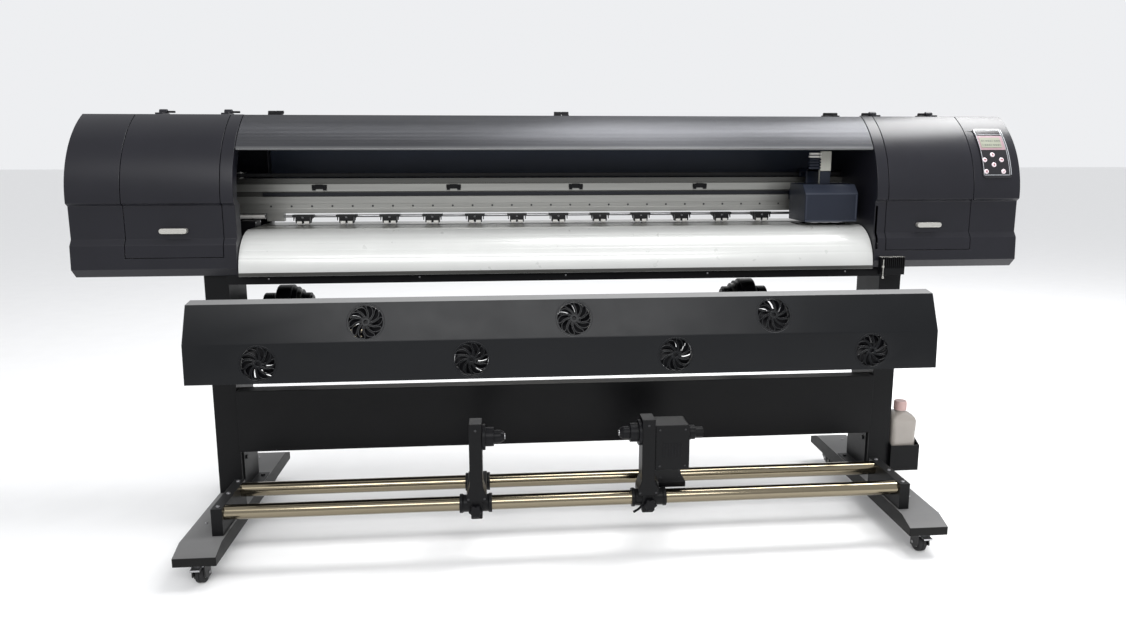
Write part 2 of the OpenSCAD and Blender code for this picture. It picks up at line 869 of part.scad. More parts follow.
module waste_bottle() {
    x = (tray_x[0] + tray_x[1]) / 2;
    y = (tray_y[0] + tray_y[1]) / 2 - 6;
    color(white) translate([x, y, tray_base + 3.3]) {
        linear_extrude(160) hull() for (sx = [-1, 1], sy = [-1, 1])
            translate([sx * 27, sy * 27]) circle(r = 12);
        translate([0, 0, 160]) cylinder(r1 = 34, r2 = 17, h = 14);
        translate([0, 0, 174]) cylinder(r = 15, h = 6);
    }
    color([0.85, 0.6, 0.6]) translate([x, y, tray_base + 3.3 + 178]) cylinder(r = 19, h = 28);
}

module fork_front_left() caster_fork(-1, -1);
module fork_front_right() caster_fork(1, -1);
module fork_rear_left() caster_fork(-1, 1);
module fork_rear_right() caster_fork(1, 1);
module wheel_front_left() caster_wheel(-1, -1);
module wheel_front_right() caster_wheel(1, -1);
module wheel_rear_left() caster_wheel(-1, 1);
module wheel_rear_right() caster_wheel(1, 1);

feet();
legs();
crossbeam();
left_housing();
right_housing();
rear_cover();
hinges();
chassis_rail();
media_guides();
platen();
carriage_beam();
guide_rail();
drive_belt();
drive_motors();
capping_station();
ink_tanks();
dryer_hood();
stand_brackets();
fan_frames();
support_tubes();
control_panel();
bottle_tray();
centre_cover();
left_cover();
right_cover();
carriage();
motor_pulley();
idler_pulley();
feed_roller();
pinch_arms();
pinch_rollers();
pinch_lever();
fan_1();
fan_2();
fan_3();
fan_4();
fan_5();
fan_6();
fan_7();
takeup_left_post();
takeup_left_hub();
takeup_right_post();
takeup_right_hub();
rear_left_holder();
rear_right_holder();
fork_front_left();
fork_front_right();
fork_rear_left();
fork_rear_right();
wheel_front_left();
wheel_front_right();
wheel_rear_left();
wheel_rear_right();
waste_bottle();
key_up();
key_left();
key_right();
key_down();
key_cancel();
key_enter();
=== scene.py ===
"""Looks of a wide-format roll printer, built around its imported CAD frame.

Lengths are in mm until a mesh is made.
"""

import json
from math import atan2, cos, degrees, hypot, pi, radians, sin, sqrt

import bmesh
import bpy
from mathutils import Matrix, Vector

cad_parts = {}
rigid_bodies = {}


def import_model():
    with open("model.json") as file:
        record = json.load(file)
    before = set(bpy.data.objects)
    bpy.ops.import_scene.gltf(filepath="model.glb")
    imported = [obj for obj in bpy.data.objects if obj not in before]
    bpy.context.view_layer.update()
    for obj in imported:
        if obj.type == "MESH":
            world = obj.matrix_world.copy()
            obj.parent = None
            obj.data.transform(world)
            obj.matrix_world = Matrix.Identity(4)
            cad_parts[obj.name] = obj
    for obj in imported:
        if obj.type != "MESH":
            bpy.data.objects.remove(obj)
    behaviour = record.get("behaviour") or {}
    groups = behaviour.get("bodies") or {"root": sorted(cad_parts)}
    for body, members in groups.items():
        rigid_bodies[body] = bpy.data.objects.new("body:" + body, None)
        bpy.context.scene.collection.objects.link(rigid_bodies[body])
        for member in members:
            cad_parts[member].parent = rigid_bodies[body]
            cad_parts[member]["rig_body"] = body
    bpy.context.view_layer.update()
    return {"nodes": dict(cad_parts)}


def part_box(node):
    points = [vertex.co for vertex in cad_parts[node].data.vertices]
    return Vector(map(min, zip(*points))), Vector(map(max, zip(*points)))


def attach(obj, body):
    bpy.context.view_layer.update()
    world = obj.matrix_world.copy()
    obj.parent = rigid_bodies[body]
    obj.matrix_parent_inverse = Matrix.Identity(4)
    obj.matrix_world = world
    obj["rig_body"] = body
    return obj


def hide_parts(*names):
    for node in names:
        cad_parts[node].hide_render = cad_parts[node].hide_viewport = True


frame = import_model()

MM = 0.001
ROOT = "printer_frame"


# ---- camera

def placed(name, data):
    """A new object in the scene."""
    obj = bpy.data.objects.new(name, data)
    bpy.context.scene.collection.objects.link(obj)
    return obj


def make_camera():
    """The photograph's viewpoint, worked out from the machine's straight edges."""
    data = bpy.data.cameras.new("camera")
    data.sensor_width = 36.0
    data.lens = 24.82
    data.shift_x = -0.0056
    data.shift_y = -0.0333
    data.clip_end = 60.0
    cam = placed("camera", data)
    cam.location = (-0.1708, -2.1891, 1.0880)
    pitch, yaw = radians(90 - 9.256), radians(-4.769)
    cam.rotation_euler = (pitch, 0.0, yaw)
    bpy.context.scene.camera = cam


make_camera()


# ---- materials

# The pale grey of the painted reflection on faces that look up.
SHEEN_COLOR = (0.42, 0.42, 0.42, 1)
GRAIN_DEPTH, RIB_DEPTH = 0.0004, 0.0006


def surface(name, color, rough, metallic=0.0, mottle=0.08, mottle_scale=9.0, grain=0.1, grain_scale=900.0,
            stretch=(1, 1, 1), spread=0.07, coat=0.0, coat_rough=0.1, ribs=None, specular=0.5, top_sheen=0.0):
    """A procedural finish in object space: colour mottle, uneven gloss and fine relief.

    Faces that look up get a pale wash mixed in, as much as the last argument gives: a painted reflection of a
    bright room.
    """
    mat = bpy.data.materials.new(name)
    mat.use_nodes = True
    nodes, links = mat.node_tree.nodes, mat.node_tree.links

    def fill(node, values):
        for socket, value in values.items():
            node.inputs[socket].default_value = value
        return node

    def add(kind, values=None):
        return fill(nodes.new("ShaderNode" + kind), values or {})

    shader = fill(nodes["Principled BSDF"], {"Metallic": metallic, "Specular IOR Level": specular,
                                             "Coat Weight": coat, "Coat Roughness": coat_rough})
    place = add("TexCoord")
    squeeze = add("Mapping", {"Scale": stretch})
    links.new(place.outputs["Object"], squeeze.inputs["Vector"])

    def noise(scale, detail=4.0):
        node = add("TexNoise", {"Scale": scale, "Detail": detail})
        links.new(squeeze.outputs["Vector"], node.inputs["Vector"])
        return node.outputs["Fac"]

    ramp = add("ValToRGB")
    dark, light = ramp.color_ramp.elements
    dark.position, dark.color = 0.3, [c * (1 - mottle) for c in color] + [1]
    light.position, light.color = 0.7, [min(1, c * (1 + mottle)) for c in color] + [1]
    links.new(noise(mottle_scale), ramp.inputs["Fac"])
    tint = ramp.outputs["Color"]
    # Painted reflection: faces that look up are mixed toward a pale grey.
    if top_sheen:
        normal = add("NewGeometry")
        split = add("SeparateXYZ")
        links.new(normal.outputs["Normal"], split.inputs["Vector"])
        sheen_strength = add("MapRange", {"From Min": 0.6, "To Max": top_sheen})
        links.new(split.outputs["Z"], sheen_strength.inputs["Value"])
        sheen_mix = add("Mix")
        sheen_mix.data_type = "RGBA"
        fill(sheen_mix, {"B": SHEEN_COLOR})
        links.new(sheen_strength.outputs["Result"], sheen_mix.inputs["Factor"])
        links.new(tint, sheen_mix.inputs["A"])
        tint = sheen_mix.outputs["Result"]
    links.new(tint, shader.inputs["Base Color"])
    gloss = add("MapRange", {"To Min": max(0.02, rough - spread), "To Max": min(1.0, rough + spread)})
    links.new(noise(mottle_scale * 4), gloss.inputs["Value"])
    links.new(gloss.outputs["Result"], shader.inputs["Roughness"])
    relief = add("Bump", {"Strength": grain, "Distance": GRAIN_DEPTH})
    links.new(noise(grain_scale, 2.0), relief.inputs["Height"])
    if ribs:
        direction, scale, strength = ribs
        wave = add("TexWave", {"Scale": scale})
        wave.bands_direction = direction
        links.new(place.outputs["Object"], wave.inputs["Vector"])
        ridge = add("Bump", {"Strength": strength, "Distance": RIB_DEPTH})
        links.new(wave.outputs["Fac"], ridge.inputs["Height"])
        links.new(relief.outputs["Normal"], ridge.inputs["Normal"])
        relief = ridge
    links.new(relief.outputs["Normal"], shader.inputs["Normal"])
    return mat


ALONG_X = (0.03, 1, 1)
FINISHES = {
    # The shell, frame, foot and hood finishes carry a painted reflection on faces that look up; it is
    # strongest on the feet and the hood.
    "shell": surface("shell_plastic", (0.0080, 0.0080, 0.0115), 0.31, spread=0.025, grain=0.08, specular=0.27,
                     top_sheen=0.03),
    "frame_paint": surface("frame_paint", (0.0040, 0.0041, 0.0046), 0.36, grain=0.22, grain_scale=420,
                           specular=0.12, mottle_scale=5, top_sheen=0.02),
    # Feet: a strong painted reflection lightens their top faces.
    "foot_paint": surface("foot_paint", (0.006, 0.006, 0.006), 0.42, grain=0.25, grain_scale=420,
                          specular=0.12, mottle_scale=5, top_sheen=0.33),
    # Hood: a strong painted reflection lightens its top face.
    "hood_paint": surface("hood_paint", (0.0045, 0.0050, 0.0060), 0.34, grain=0.16, grain_scale=420,
                          specular=0.17, mottle_scale=4, top_sheen=0.45),
    "cover_metal": surface("cover_metal", (0.056, 0.057, 0.062), 0.33, 0.75, stretch=ALONG_X, mottle_scale=60,
                           mottle=0.12, grain=0.15),
    "lip_metal": surface("lip_metal", (0.13, 0.132, 0.135), 0.32, 0.8, stretch=ALONG_X, mottle_scale=60),
    "white_guide": surface("white_enamel", (0.50, 0.505, 0.493), 0.30, 0.1, mottle=0.02, coat=0.3,
                           grain=0.03),
    "aluminium": surface("aluminium", (0.28, 0.28, 0.265), 0.34, 0.8, stretch=ALONG_X, mottle_scale=70),
    "polished_tube": surface("polished_tube", (0.22, 0.19, 0.135), 0.14, 1.0, stretch=ALONG_X, mottle=0.10,
                             mottle_scale=40, spread=0.05, grain=0.02),
    "steel": surface("steel", (0.36, 0.36, 0.37), 0.30, 0.95, stretch=ALONG_X, mottle_scale=80),
    "dark_steel": surface("dark_steel", (0.05, 0.05, 0.052), 0.32, 0.9, mottle_scale=80),
    "black_plastic": surface("black_plastic", (0.0045, 0.0045, 0.0055), 0.40, grain=0.25, specular=0.12),
    "caster_black": surface("caster_black", (0.008, 0.008, 0.009), 0.36, grain=0.2, specular=0.3),
    "panel": surface("panel", (0.010, 0.010, 0.012), 0.20, coat=0.2, grain=0.02, specular=0.3),
    "display": surface("display", (0.24, 0.25, 0.20), 0.22, mottle=0.05, coat=0.1, coat_rough=0.1, grain=0.01,
                       ribs=("X", 260, 0.2)),
    "lcd_ink": surface("lcd_ink", (0.10, 0.11, 0.09), 0.3, mottle=0.05),
    "key": surface("key", (0.60, 0.52, 0.55), 0.32, mottle=0.04, coat=0.3, grain=0.05),
    "key_ink": surface("key_ink", (0.22, 0.06, 0.07), 0.5, mottle=0.08),
    "rubber": surface("rubber", (0.012, 0.012, 0.013), 0.62, grain=0.4, grain_scale=500, specular=0.3),
    "white_plastic": surface("white_plastic", (0.62, 0.61, 0.58), 0.38, mottle=0.03, coat=0.1),
    "bottle_white": surface("bottle_white", (0.29, 0.265, 0.24), 0.38, mottle=0.06, coat=0.15,
                            mottle_scale=14),
    "navy_paint": surface("navy_paint", (0.0085, 0.0115, 0.0210), 0.36, grain=0.2, grain_scale=500,
                          specular=0.25),
    "cavity_navy": surface("cavity_navy", (0.019, 0.026, 0.044), 0.40, grain=0.2, grain_scale=500,
                           specular=0.25),
    "carriage_edge": surface("carriage_edge", (0.028, 0.033, 0.048), 0.30, grain=0.15, specular=0.3),
    "handle_metal": surface("handle_metal", (0.47, 0.46, 0.43), 0.28, 0.6, stretch=ALONG_X, mottle=0.03),
    "rail_steel": surface("rail_steel", (0.012, 0.013, 0.017), 0.30, 0.6, stretch=ALONG_X, mottle_scale=80),
    "strip_alu": surface("strip_alu", (0.085, 0.085, 0.08), 0.36, 0.8, stretch=ALONG_X, mottle_scale=70),
    "hole_black": surface("hole_black", (0.012, 0.012, 0.014), 0.6, mottle=0.1),
    "bezel": surface("bezel", (0.42, 0.43, 0.45), 0.30, 0.4, mottle=0.04),
    "display_frame": surface("display_frame", (0.26, 0.17, 0.19), 0.35, mottle=0.06),
    "cap_pink": surface("cap_pink", (0.52, 0.36, 0.34), 0.40, mottle=0.05),
    "bracket_beige": surface("bracket_beige", (0.36, 0.36, 0.32), 0.42, 0.3, mottle=0.05),
}


# ---- outlines and solids

YZ = Matrix(((0, 0, 1, 0), (1, 0, 0, 0), (0, 1, 0, 0), (0, 0, 0, 1)))
XZ = Matrix(((1, 0, 0, 0), (0, 0, -1, 0), (0, 1, 0, 0), (0, 0, 0, 1)))
FLAT = Matrix.Identity(4)


def at(x, y, z, turn=None):
    """A place at a point, turned by a matrix."""
    return Matrix.Translation((x, y, z)) @ (turn or FLAT)


def spun(place, angle):
    """A place turned about its own Z axis by degrees."""
    return place @ Matrix.Rotation(radians(angle), 4, "Z")


def rounded(points, radius, steps=4):
    """The outline with its corners rounded."""
    out = []
    count = len(points)
    for i, p in enumerate(points):
        if not radius:
            out.append(tuple(p))
            continue
        here = Vector(p)
        before, after = Vector(points[i - 1]) - here, Vector(points[(i + 1) % count]) - here
        a = here + before.normalized() * min(radius, before.length * 0.49)
        b = here + after.normalized() * min(radius, after.length * 0.49)
        for k in range(steps + 1):
            t = k / steps
            out.append(tuple((1 - t) ** 2 * a + 2 * t * (1 - t) * here + t * t * b))
    return out


def rectangle(x0, y0, x1, y1, radius=0.0, steps=4):
    return rounded([(x0, y0), (x1, y0), (x1, y1), (x0, y1)], radius, steps)


class Solids:
    """Collects closed solids into one mesh."""

    def __init__(self):
        self.bm = bmesh.new()

    def loops(self, rings, place, closed_path=False):
        """Skins equal rings of points in order, and caps the ends unless the path closes."""
        rows = [[self.bm.verts.new(place @ Vector(p)) for p in ring] for ring in rings]
        size = len(rows[0])
        pairs = list(zip(rows, rows[1:])) + ([(rows[-1], rows[0])] if closed_path else [])
        for a, b in pairs:
            for i in range(size):
                j = (i + 1) % size
                self.bm.faces.new((a[i], a[j], b[j], b[i]))
        if not closed_path:
            self.bm.faces.new(rows[0][::-1])
            self.bm.faces.new(rows[-1])
        return self

    def prism(self, outline, d0, d1, place=YZ, edge=0.0):
        """An outline given depth, with its end rims eased by edge."""
        if not edge:
            return self.loops([[(a, b, d) for a, b in outline] for d in (d0, d1)], place)
        inner = inset(outline, edge)
        step = edge * (1 if d1 > d0 else -1)
        rings = [(inner, d0), (outline, d0 + step), (outline, d1 - step), (inner, d1)]
        return self.loops([[(a, b, d) for a, b in line] for line, d in rings], place)

    def ring(self, outer, inner, d0, d1, place=FLAT, edge=0.0):
        """A prism with a hole; both outlines have the same number of points."""
        if edge:
            shy, wide = inset(outer, edge), inset(inner, -edge)
            lines = [(outer, d0), (outer, d1 - edge), (shy, d1), (wide, d1), (inner, d1 - edge), (inner, d0)]
        else:
            lines = [(outer, d0), (outer, d1), (inner, d1), (inner, d0)]
        return self.loops([[(a, b, d) for a, b in line] for line, d in lines], place, True)

    def lathe(self, profile, place=FLAT, steps=48):
        """Turns a profile of (radius, height) about the place's Z axis; ends on the axis close the solid."""
        rows = []
        for r, h in profile:
            if r < 1e-6:
                rows.append([self.bm.verts.new(place @ Vector((0, 0, h)))])
            else:
                turns = [2 * pi * i / steps for i in range(steps)]
                rows.append([self.bm.verts.new(place @ Vector((r * cos(a), r * sin(a), h)))
                             for a in turns])
        if len(rows[0]) > 1:
            rows.append(rows[0])
        for a, b in zip(rows, rows[1:]):
            for i in range(steps):
                j = (i + 1) % steps
                if len(a) == 1:
                    self.bm.faces.new((a[0], b[j], b[i]))
                elif len(b) == 1:
                    self.bm.faces.new((a[i], a[j], b[0]))
                else:
                    self.bm.faces.new((a[i], a[j], b[j], b[i]))
        return self

    def cylinder(self, r, h0, h1, place=FLAT, edge=0.5, steps=32):
        e = min(edge, r * 0.4, abs(h1 - h0) * 0.4)
        profile = [(0, h0), (r - e, h0), (r, h0 + e), (r, h1 - e), (r - e, h1), (0, h1)]
        return self.lathe(profile, place, steps)

    def block(self, low, high, edge=0.8):
        """A box with eased edges on all twelve sides."""
        e = min(edge, *((h - l) * 0.3 for l, h in zip(low, high)))
        outline = rounded(rectangle(low[0], low[1], high[0], high[1]), e, 2)
        return self.prism(outline, low[2], high[2], FLAT, e * 0.5)

    def tube(self, path, r, sides=12):
        """A round rod along a path of points."""
        points = [Vector(p) for p in path]
        rings = []
        side = None
        for i, p in enumerate(points):
            ahead = heading(points, i)
            if side is None:
                side = ahead.orthogonal().normalized()
            side = (side - ahead * side.dot(ahead)).normalized()
            other = ahead.cross(side)
            turns = [2 * pi * k / sides for k in range(sides)]
            rings.append([p + side * r * cos(a) + other * r * sin(a) for a in turns])
        return self.loops(rings, FLAT)

    def ribbon(self, path, width, d0, d1, place=FLAT):
        """A flat bar of constant width along a plane path, given depth."""
        points = [Vector(p) for p in path]
        rings = []
        for i, p in enumerate(points):
            ahead = heading(points, i)
            across = Vector((-ahead.y, ahead.x)) * width / 2
            a, b = p + across, p - across
            rings.append([(a.x, a.y, d0), (b.x, b.y, d0), (b.x, b.y, d1), (a.x, a.y, d1)])
        return self.loops(rings, place)

    def screw(self, x, y, z, normal, r, h):
        """A pan head with a hexagon socket, standing on a point and facing along a direction."""
        e = r * 0.35
        self.lathe([(0, -0.4), (r, -0.4), (r, h - e), (r - e * 0.3, h - e * 0.3), (r - e, h), (r * 0.5, h),
                    (r * 0.42, h - 0.9 * e), (0, h - 0.9 * e)], facing(x, y, z, normal), 24)

    def mesh(self):
        """The solids as one mesh in metres, which ends the collecting."""
        bmesh.ops.recalc_face_normals(self.bm, faces=self.bm.faces)
        bmesh.ops.scale(self.bm, vec=(MM,) * 3, verts=self.bm.verts)
        mesh = bpy.data.meshes.new("solids")
        self.bm.to_mesh(mesh)
        self.bm.free()
        return mesh


def heading(points, i):
    """The direction of a path at one of its points."""
    return (points[min(i + 1, len(points) - 1)] - points[max(i - 1, 0)]).normalized()


def inset(outline, by):
    """The outline moved inward by a distance, corner by corner."""
    points = [Vector(p) for p in outline]
    area = sum(a.x * b.y - b.x * a.y for a, b in zip(points, points[1:] + points[:1]))
    sign = 1 if area > 0 else -1
    out = []
    for i, p in enumerate(points):
        a, b = (p - points[i - 1]), (points[(i + 1) % len(points)] - p)
        a = a.normalized() if a.length > 1e-9 else b.normalized()
        b = b.normalized() if b.length > 1e-9 else a
        n = Vector((-(a.y + b.y), a.x + b.x))
        n = n.normalized() if n.length > 1e-9 else Vector((-a.y, a.x))
        lean = max(0.4, n.dot(Vector((-a.y, a.x))))
        out.append(tuple(p + n * sign * by / lean))
    return out


def piece(name, shape, material, body=ROOT, replaces=(), bevel=0.0, angle=30.0, smooth=40.0, paint=()):
    """Puts a mesh in the scene with soft edges and normals, and lets it ride on a body."""
    mesh = shape.mesh() if isinstance(shape, Solids) else shape
    mesh.name = name
    obj = placed(name, mesh)
    if bevel:
        edge = obj.modifiers.new("edge", "BEVEL")
        edge.width = bevel * MM
        edge.segments = 2
        edge.limit_method = "ANGLE"
        edge.angle_limit = radians(angle)
        edge.use_clamp_overlap = False
        bake(obj)
    obj.data.materials.clear()
    obj.data.materials.append(FINISHES[material])
    for index, (other, test) in enumerate(paint, 1):
        obj.data.materials.append(FINISHES[other])
        for face in obj.data.polygons:
            if test(face.center / MM, face.normal):
                face.material_index = index
    obj.data.shade_smooth()
    obj.data.set_sharp_from_angle(angle=radians(smooth))
    even = obj.modifiers.new("even", "WEIGHTED_NORMAL")
    even.keep_sharp = True
    bake(obj)
    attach(obj, body)
    if replaces:
        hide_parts(*replaces)
    return obj


def bake(obj):
    """Applies the object's modifiers to its mesh."""
    graph = bpy.context.evaluated_depsgraph_get()
    mesh = bpy.data.meshes.new_from_object(obj.evaluated_get(graph), depsgraph=graph)
    obj.modifiers.clear()
    obj.data = mesh


def refined(node, material, bevel=0.8, **options):
    """A CAD node welded, with whole flat faces, eased edges and a finish, standing for the plain node."""
    bm = bmesh.new()
    bm.from_mesh(frame["nodes"][node].data)
    bmesh.ops.remove_doubles(bm, verts=bm.verts, dist=0.000004)
    bmesh.ops.dissolve_limit(bm, angle_limit=radians(1), verts=bm.verts, edges=bm.edges)
    mesh = bpy.data.meshes.new(node)
    bm.to_mesh(mesh)
    bm.free()
    return piece(node + ".skin", mesh, material, body_of(node), (node,), bevel, **options)


def tenths(point):
    """A point of the frame to the nearest tenth of a mm."""
    return [round(v, 1) for v in point]


def low(node):
    return tenths(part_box(node)[0] / MM)


def high(node):
    return tenths(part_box(node)[1] / MM)


def middle(node):
    return tenths((a + b) / 2 for a, b in zip(low(node), high(node)))


# ---- places on the machine

FOOT_X, AXLE_Y, WHEEL_R = middle("wheel_rear_right")
ARC_Y, ARC_Z, ARC_R = 234.5, 947.0, 273.0
BACK_Y, BODY_TOP = high("rear_cover")[1:]
SIDE_X = high("right_housing")[0] - 1.7
HINGES = (-1117, -939, -818, 0, 818, 939, 1117)
HINGE_Y, HINGE_Z = 140, 1189
TUBE_R = 19.0
TUBE_Z = low("support_tubes")[2] + TUBE_R
HUB_Y, HUB_Z = middle("takeup_right_hub")[1:]
HOLDER_Y, HOLDER_Z = 260.0, 604.0
FRONT, BACK, UP, RIGHT = (0, -1, 0), (0, 1, 0), (0, 0, 1), (1, 0, 0)
CORNERS = [(side, end, f"{end_name}_{side_name}") for end, end_name in ((-1, "front"), (1, "rear"))
           for side, side_name in ((-1, "left"), (1, "right"))]


def facing(x, y, z, normal):
    """A place at a point, with its Z axis along a direction."""
    return at(x, y, z, Vector(normal).to_track_quat("Z", "Y").to_matrix().to_4x4())


def along_x(x, y, z, sense=1):
    """A place whose Z axis runs along X, for turned parts."""
    return at(x, y, z, Matrix.Rotation(radians(90 * sense), 4, "Y"))


def body_of(node):
    return frame["nodes"][node]["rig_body"]


def polar(points):
    """An outline from radii and angles."""
    return [(r * cos(a), r * sin(a)) for r, a in points]


def circle(r, steps=48):
    return polar((r, 2 * pi * i / steps) for i in range(steps))


def square(half_a, half_b, steps):
    """A rectangle's outline with as many points as a circle has, so that a ring can join the two."""
    out = []
    for c, s in circle(1.0, steps):
        far = max(abs(c), abs(s))
        out.append((half_a * c / far, half_b * s / far))
    return out


# ---- stand

def make_stand():
    # The feet's pale top faces are a painted reflection that comes with their finish.
    refined("feet", "foot_paint", 1.5)
    for node, bevel in (("legs", 0.8), ("crossbeam", 2.0), ("bottle_tray", 0.4)):
        refined(node, "frame_paint", bevel)
    refined("support_tubes", "polished_tube", 0.3)
    refined("chassis_rail", "frame_paint", 0.6)
    refined("stand_brackets", "frame_paint", 0.4, paint=(
        ("handle_metal", lambda c, n: c.z > 777.5 and c.y < -42 and 905 < c.x < 980),))
    bolts = Solids()
    for side in (-1, 1):
        for y in (-250, -172, -95):
            bolts.screw(side * 914, y, 179, UP, 5, 3)
        for y in (-190, 190, 255):
            bolts.screw(side * (FOOT_X + 22), y, 106, UP, 4, 2)
        for y, z in ((180, 485), (180, 560), (260, 540)):
            bolts.screw(side * 936, y, z, (-side, 0, 0), 5, 3)
    piece("stand.bolts", bolts, "steel")
    screws = Solids()
    for i in range(5):
        screws.screw(-820 + 410 * i, -20, 732, FRONT, 2.4, 1.0)
    piece("rail.screws", screws, "steel")
    caps = Solids()
    for y, z in ((215, 505), (305, 505)):
        for side in (-1, 1):
            caps.cylinder(17.5, 0, 2.5, facing(side * 936, y, z, (side, 0, 0)), 0.8)
    piece("tube.caps", caps, "black_plastic")
    probe = Solids()
    probe.tube([(912, -66, 722), (912, -66, 772)], 1.3)
    probe.lathe([(0, 716), (2.4, 717), (3.2, 720), (2.4, 723), (0, 724)], at(912, -66, 0), 20)
    probe.block((909.5, -67, 748), (914.5, -61, 754), 0.5)
    piece("relay.probe", probe, "handle_metal")
    for side, end, name in CORNERS:
        make_caster(side, end, name)


def make_caster(side, end, name):
    """A swivel caster: plated swivel, black hood with a brake tab, and a twin-look wheel."""
    refined("fork_" + name, "caster_black", 0.5, paint=(
        ("steel", lambda c, n: c.z > 53.2 or abs(c.x - side * FOOT_X) > 17.6),))
    axle = along_x(side * FOOT_X, end * AXLE_Y, WHEEL_R)
    ring = [(4.3, -10), (9, -10), (10, -8.5), (14.5, -8.5), (15.4, -10.8), (19, -11), (23, -10.6), (25, -8),
            (25, -1.6), (23.6, -0.8)]
    profile = ring + [(r, -h) for r, h in ring[::-1]]
    hub = lambda c, n: hypot(c.y - end * AXLE_Y, c.z - WHEEL_R) < 14.9
    tyre = Solids().lathe(profile, axle, 56)
    piece("wheel.tyre_" + name, tyre, "rubber", body_of("wheel_" + name), ("wheel_" + name,),
          paint=(("white_plastic", hub),))


# ---- body

def behind_skin(centre, normal):
    """Whether a face of the rear cover looks into the print zone."""
    return normal.y * (ARC_Y - centre.y) + normal.z * (ARC_Z - centre.z) > 0 and abs(normal.x) < 0.5


def on_handle(centre, _normal):
    """Whether a face belongs to the pull handle of a side cover."""
    return centre.y < -29 and abs(centre.z - 868) < 8 and abs(abs(centre.x) - 1056) < 38


def on_arc(x, angle, out=0.0):
    """A place on the curved front at a height angle, with Z pointing outward."""
    turn = Matrix.Rotation(radians(90 - angle), 4, "X")
    return at(x, ARC_Y, ARC_Z, turn @ Matrix.Translation((0, 0, ARC_R + out)))


def arc_point(x, angle, out):
    a = radians(angle)
    return (x, ARC_Y - (ARC_R + out) * cos(a), ARC_Z + (ARC_R + out) * sin(a))


def arc_plate(solids, sides, angles, out, corner=0.0, steps=12):
    """A curved plate on the cover arc between two sides and two height angles, with rounded corners."""
    reach = radians(angles[1] - angles[0]) * ARC_R
    rows = [corner * (1 - cos(pi / 2 * i / 5)) for i in range(6)] if corner else [0.0]
    rows += [corner + (reach - 2 * corner) * i / steps for i in range(1, steps)]
    rows += [reach - s for s in (rows[:6] if corner else rows[:1])][::-1]
    rings = []
    for s in rows:
        gap = max(0.0, corner - min(s, reach - s))
        shy = corner - sqrt(max(0.0, corner ** 2 - gap ** 2))
        angle = angles[0] + degrees(s / ARC_R)
        rings.append([arc_point(sides[0] + shy, angle, out[0]), arc_point(sides[1] - shy, angle, out[0]),
                      arc_point(sides[1] - shy, angle, out[1]), arc_point(sides[0] + shy, angle, out[1])])
    return solids.loops(rings, FLAT)


def make_shells():
    refined("left_housing", "shell", 1.2)
    refined("right_housing", "shell", 1.2)
    refined("rear_cover", "shell", 1.2, paint=(("cavity_navy", behind_skin),))
    for name in ("left_cover", "right_cover"):
        refined(name, "shell", 0.9, paint=(("handle_metal", on_handle),))
    knuckle = [(135.9, 1181.2), (144.1, 1181.2), (144.1, 1189), (142.9, 1192), (140, 1193.2), (137.1, 1192),
               (135.9, 1189)]
    blocks = Solids()
    for x in HINGES:
        blocks.block((x - 22, 133, BODY_TOP), (x - 0.6, 156, BODY_TOP + 4.5), 1.2)
        blocks.prism(knuckle, x - 22, x - 0.6, YZ, 0.5)
        blocks.cylinder(2.9, x - 21, x + 20.6, along_x(0, HINGE_Y, HINGE_Z), 0.4, 20)
    piece("hinge.blocks", blocks, "black_plastic", replaces=("hinges",))


def make_shell_details():
    """Screws of the hinges and shells, louvres, and the mains inlet at the back."""
    heads = Solids()
    for x in HINGES:
        for dx in (-17, -5):
            heads.screw(x + dx, 150.5, BODY_TOP + 4.5, UP, 2.4, 0.9)
    piece("hinge.screws", heads, "steel")
    rear = Solids()
    for side in (-1, 1):
        for x in (925, 1110, 1295):
            for z in (775, 1120):
                rear.screw(side * x, BACK_Y, z, BACK, 3.5, 1.6)
        for z in (770, 880, 1010):
            for y in (300, 12):
                rear.screw(side * SIDE_X, y, z, (side, 0, 0), 3.5, 1.6)
    piece("shell.screws", rear, "steel")
    vents = Solids()
    for side in (-1, 1):
        for i in range(9):
            vents.prism(rectangle(-62, -2.6, 62, 2.6, 2.5), 0, 1.6,
                        facing(side * 1110, BACK_Y, 1000 + 13 * i, BACK), 0.5)
        for i in range(8):
            vents.prism(rectangle(-45, -2.2, 45, 2.2, 2), 0, 1.6,
                        facing(side * SIDE_X, 170, 800 + 12 * i, (side, 0, 0)), 0.5)
    piece("shell.louvres", vents, "black_plastic")
    inlet, hole = Solids(), rectangle(-30, -13, 30, 13, 4)
    place = facing(1230, BACK_Y, 820, BACK)
    inlet.ring(rectangle(-34, -17, 34, 17, 4), hole, 0, 4, place, 0.8)
    inlet.prism(hole, 0, 1, place)
    inlet.block((1204, BACK_Y, 809), (1224, BACK_Y + 5, 831), 1.0)
    for x in (1232, 1240, 1248):
        inlet.block((x - 1.2, BACK_Y, 814), (x + 1.2, BACK_Y + 6, 826), 0.4)
    piece("power.inlet", inlet, "black_plastic")


def ear(solids, x):
    """One knuckle of a cover hinge with its strap."""
    solids.ring(circle(4.4), circle(3.1), x + 0.4, x + 20.8, at(0, HINGE_Y, HINGE_Z) @ YZ)
    solids.block((x + 0.6, 118.5, 1180.2), (x + 20.6, 136.4, 1184.4), 0.8)
    solids.prism([(133, 1182), (136.5, 1182), (138, 1185.4), (136, 1190)], x + 0.6, x + 20.6, YZ)
    for dx in (6, 15):
        solids.screw(x + dx, 124, 1184.4, UP, 2.2, 0.8)


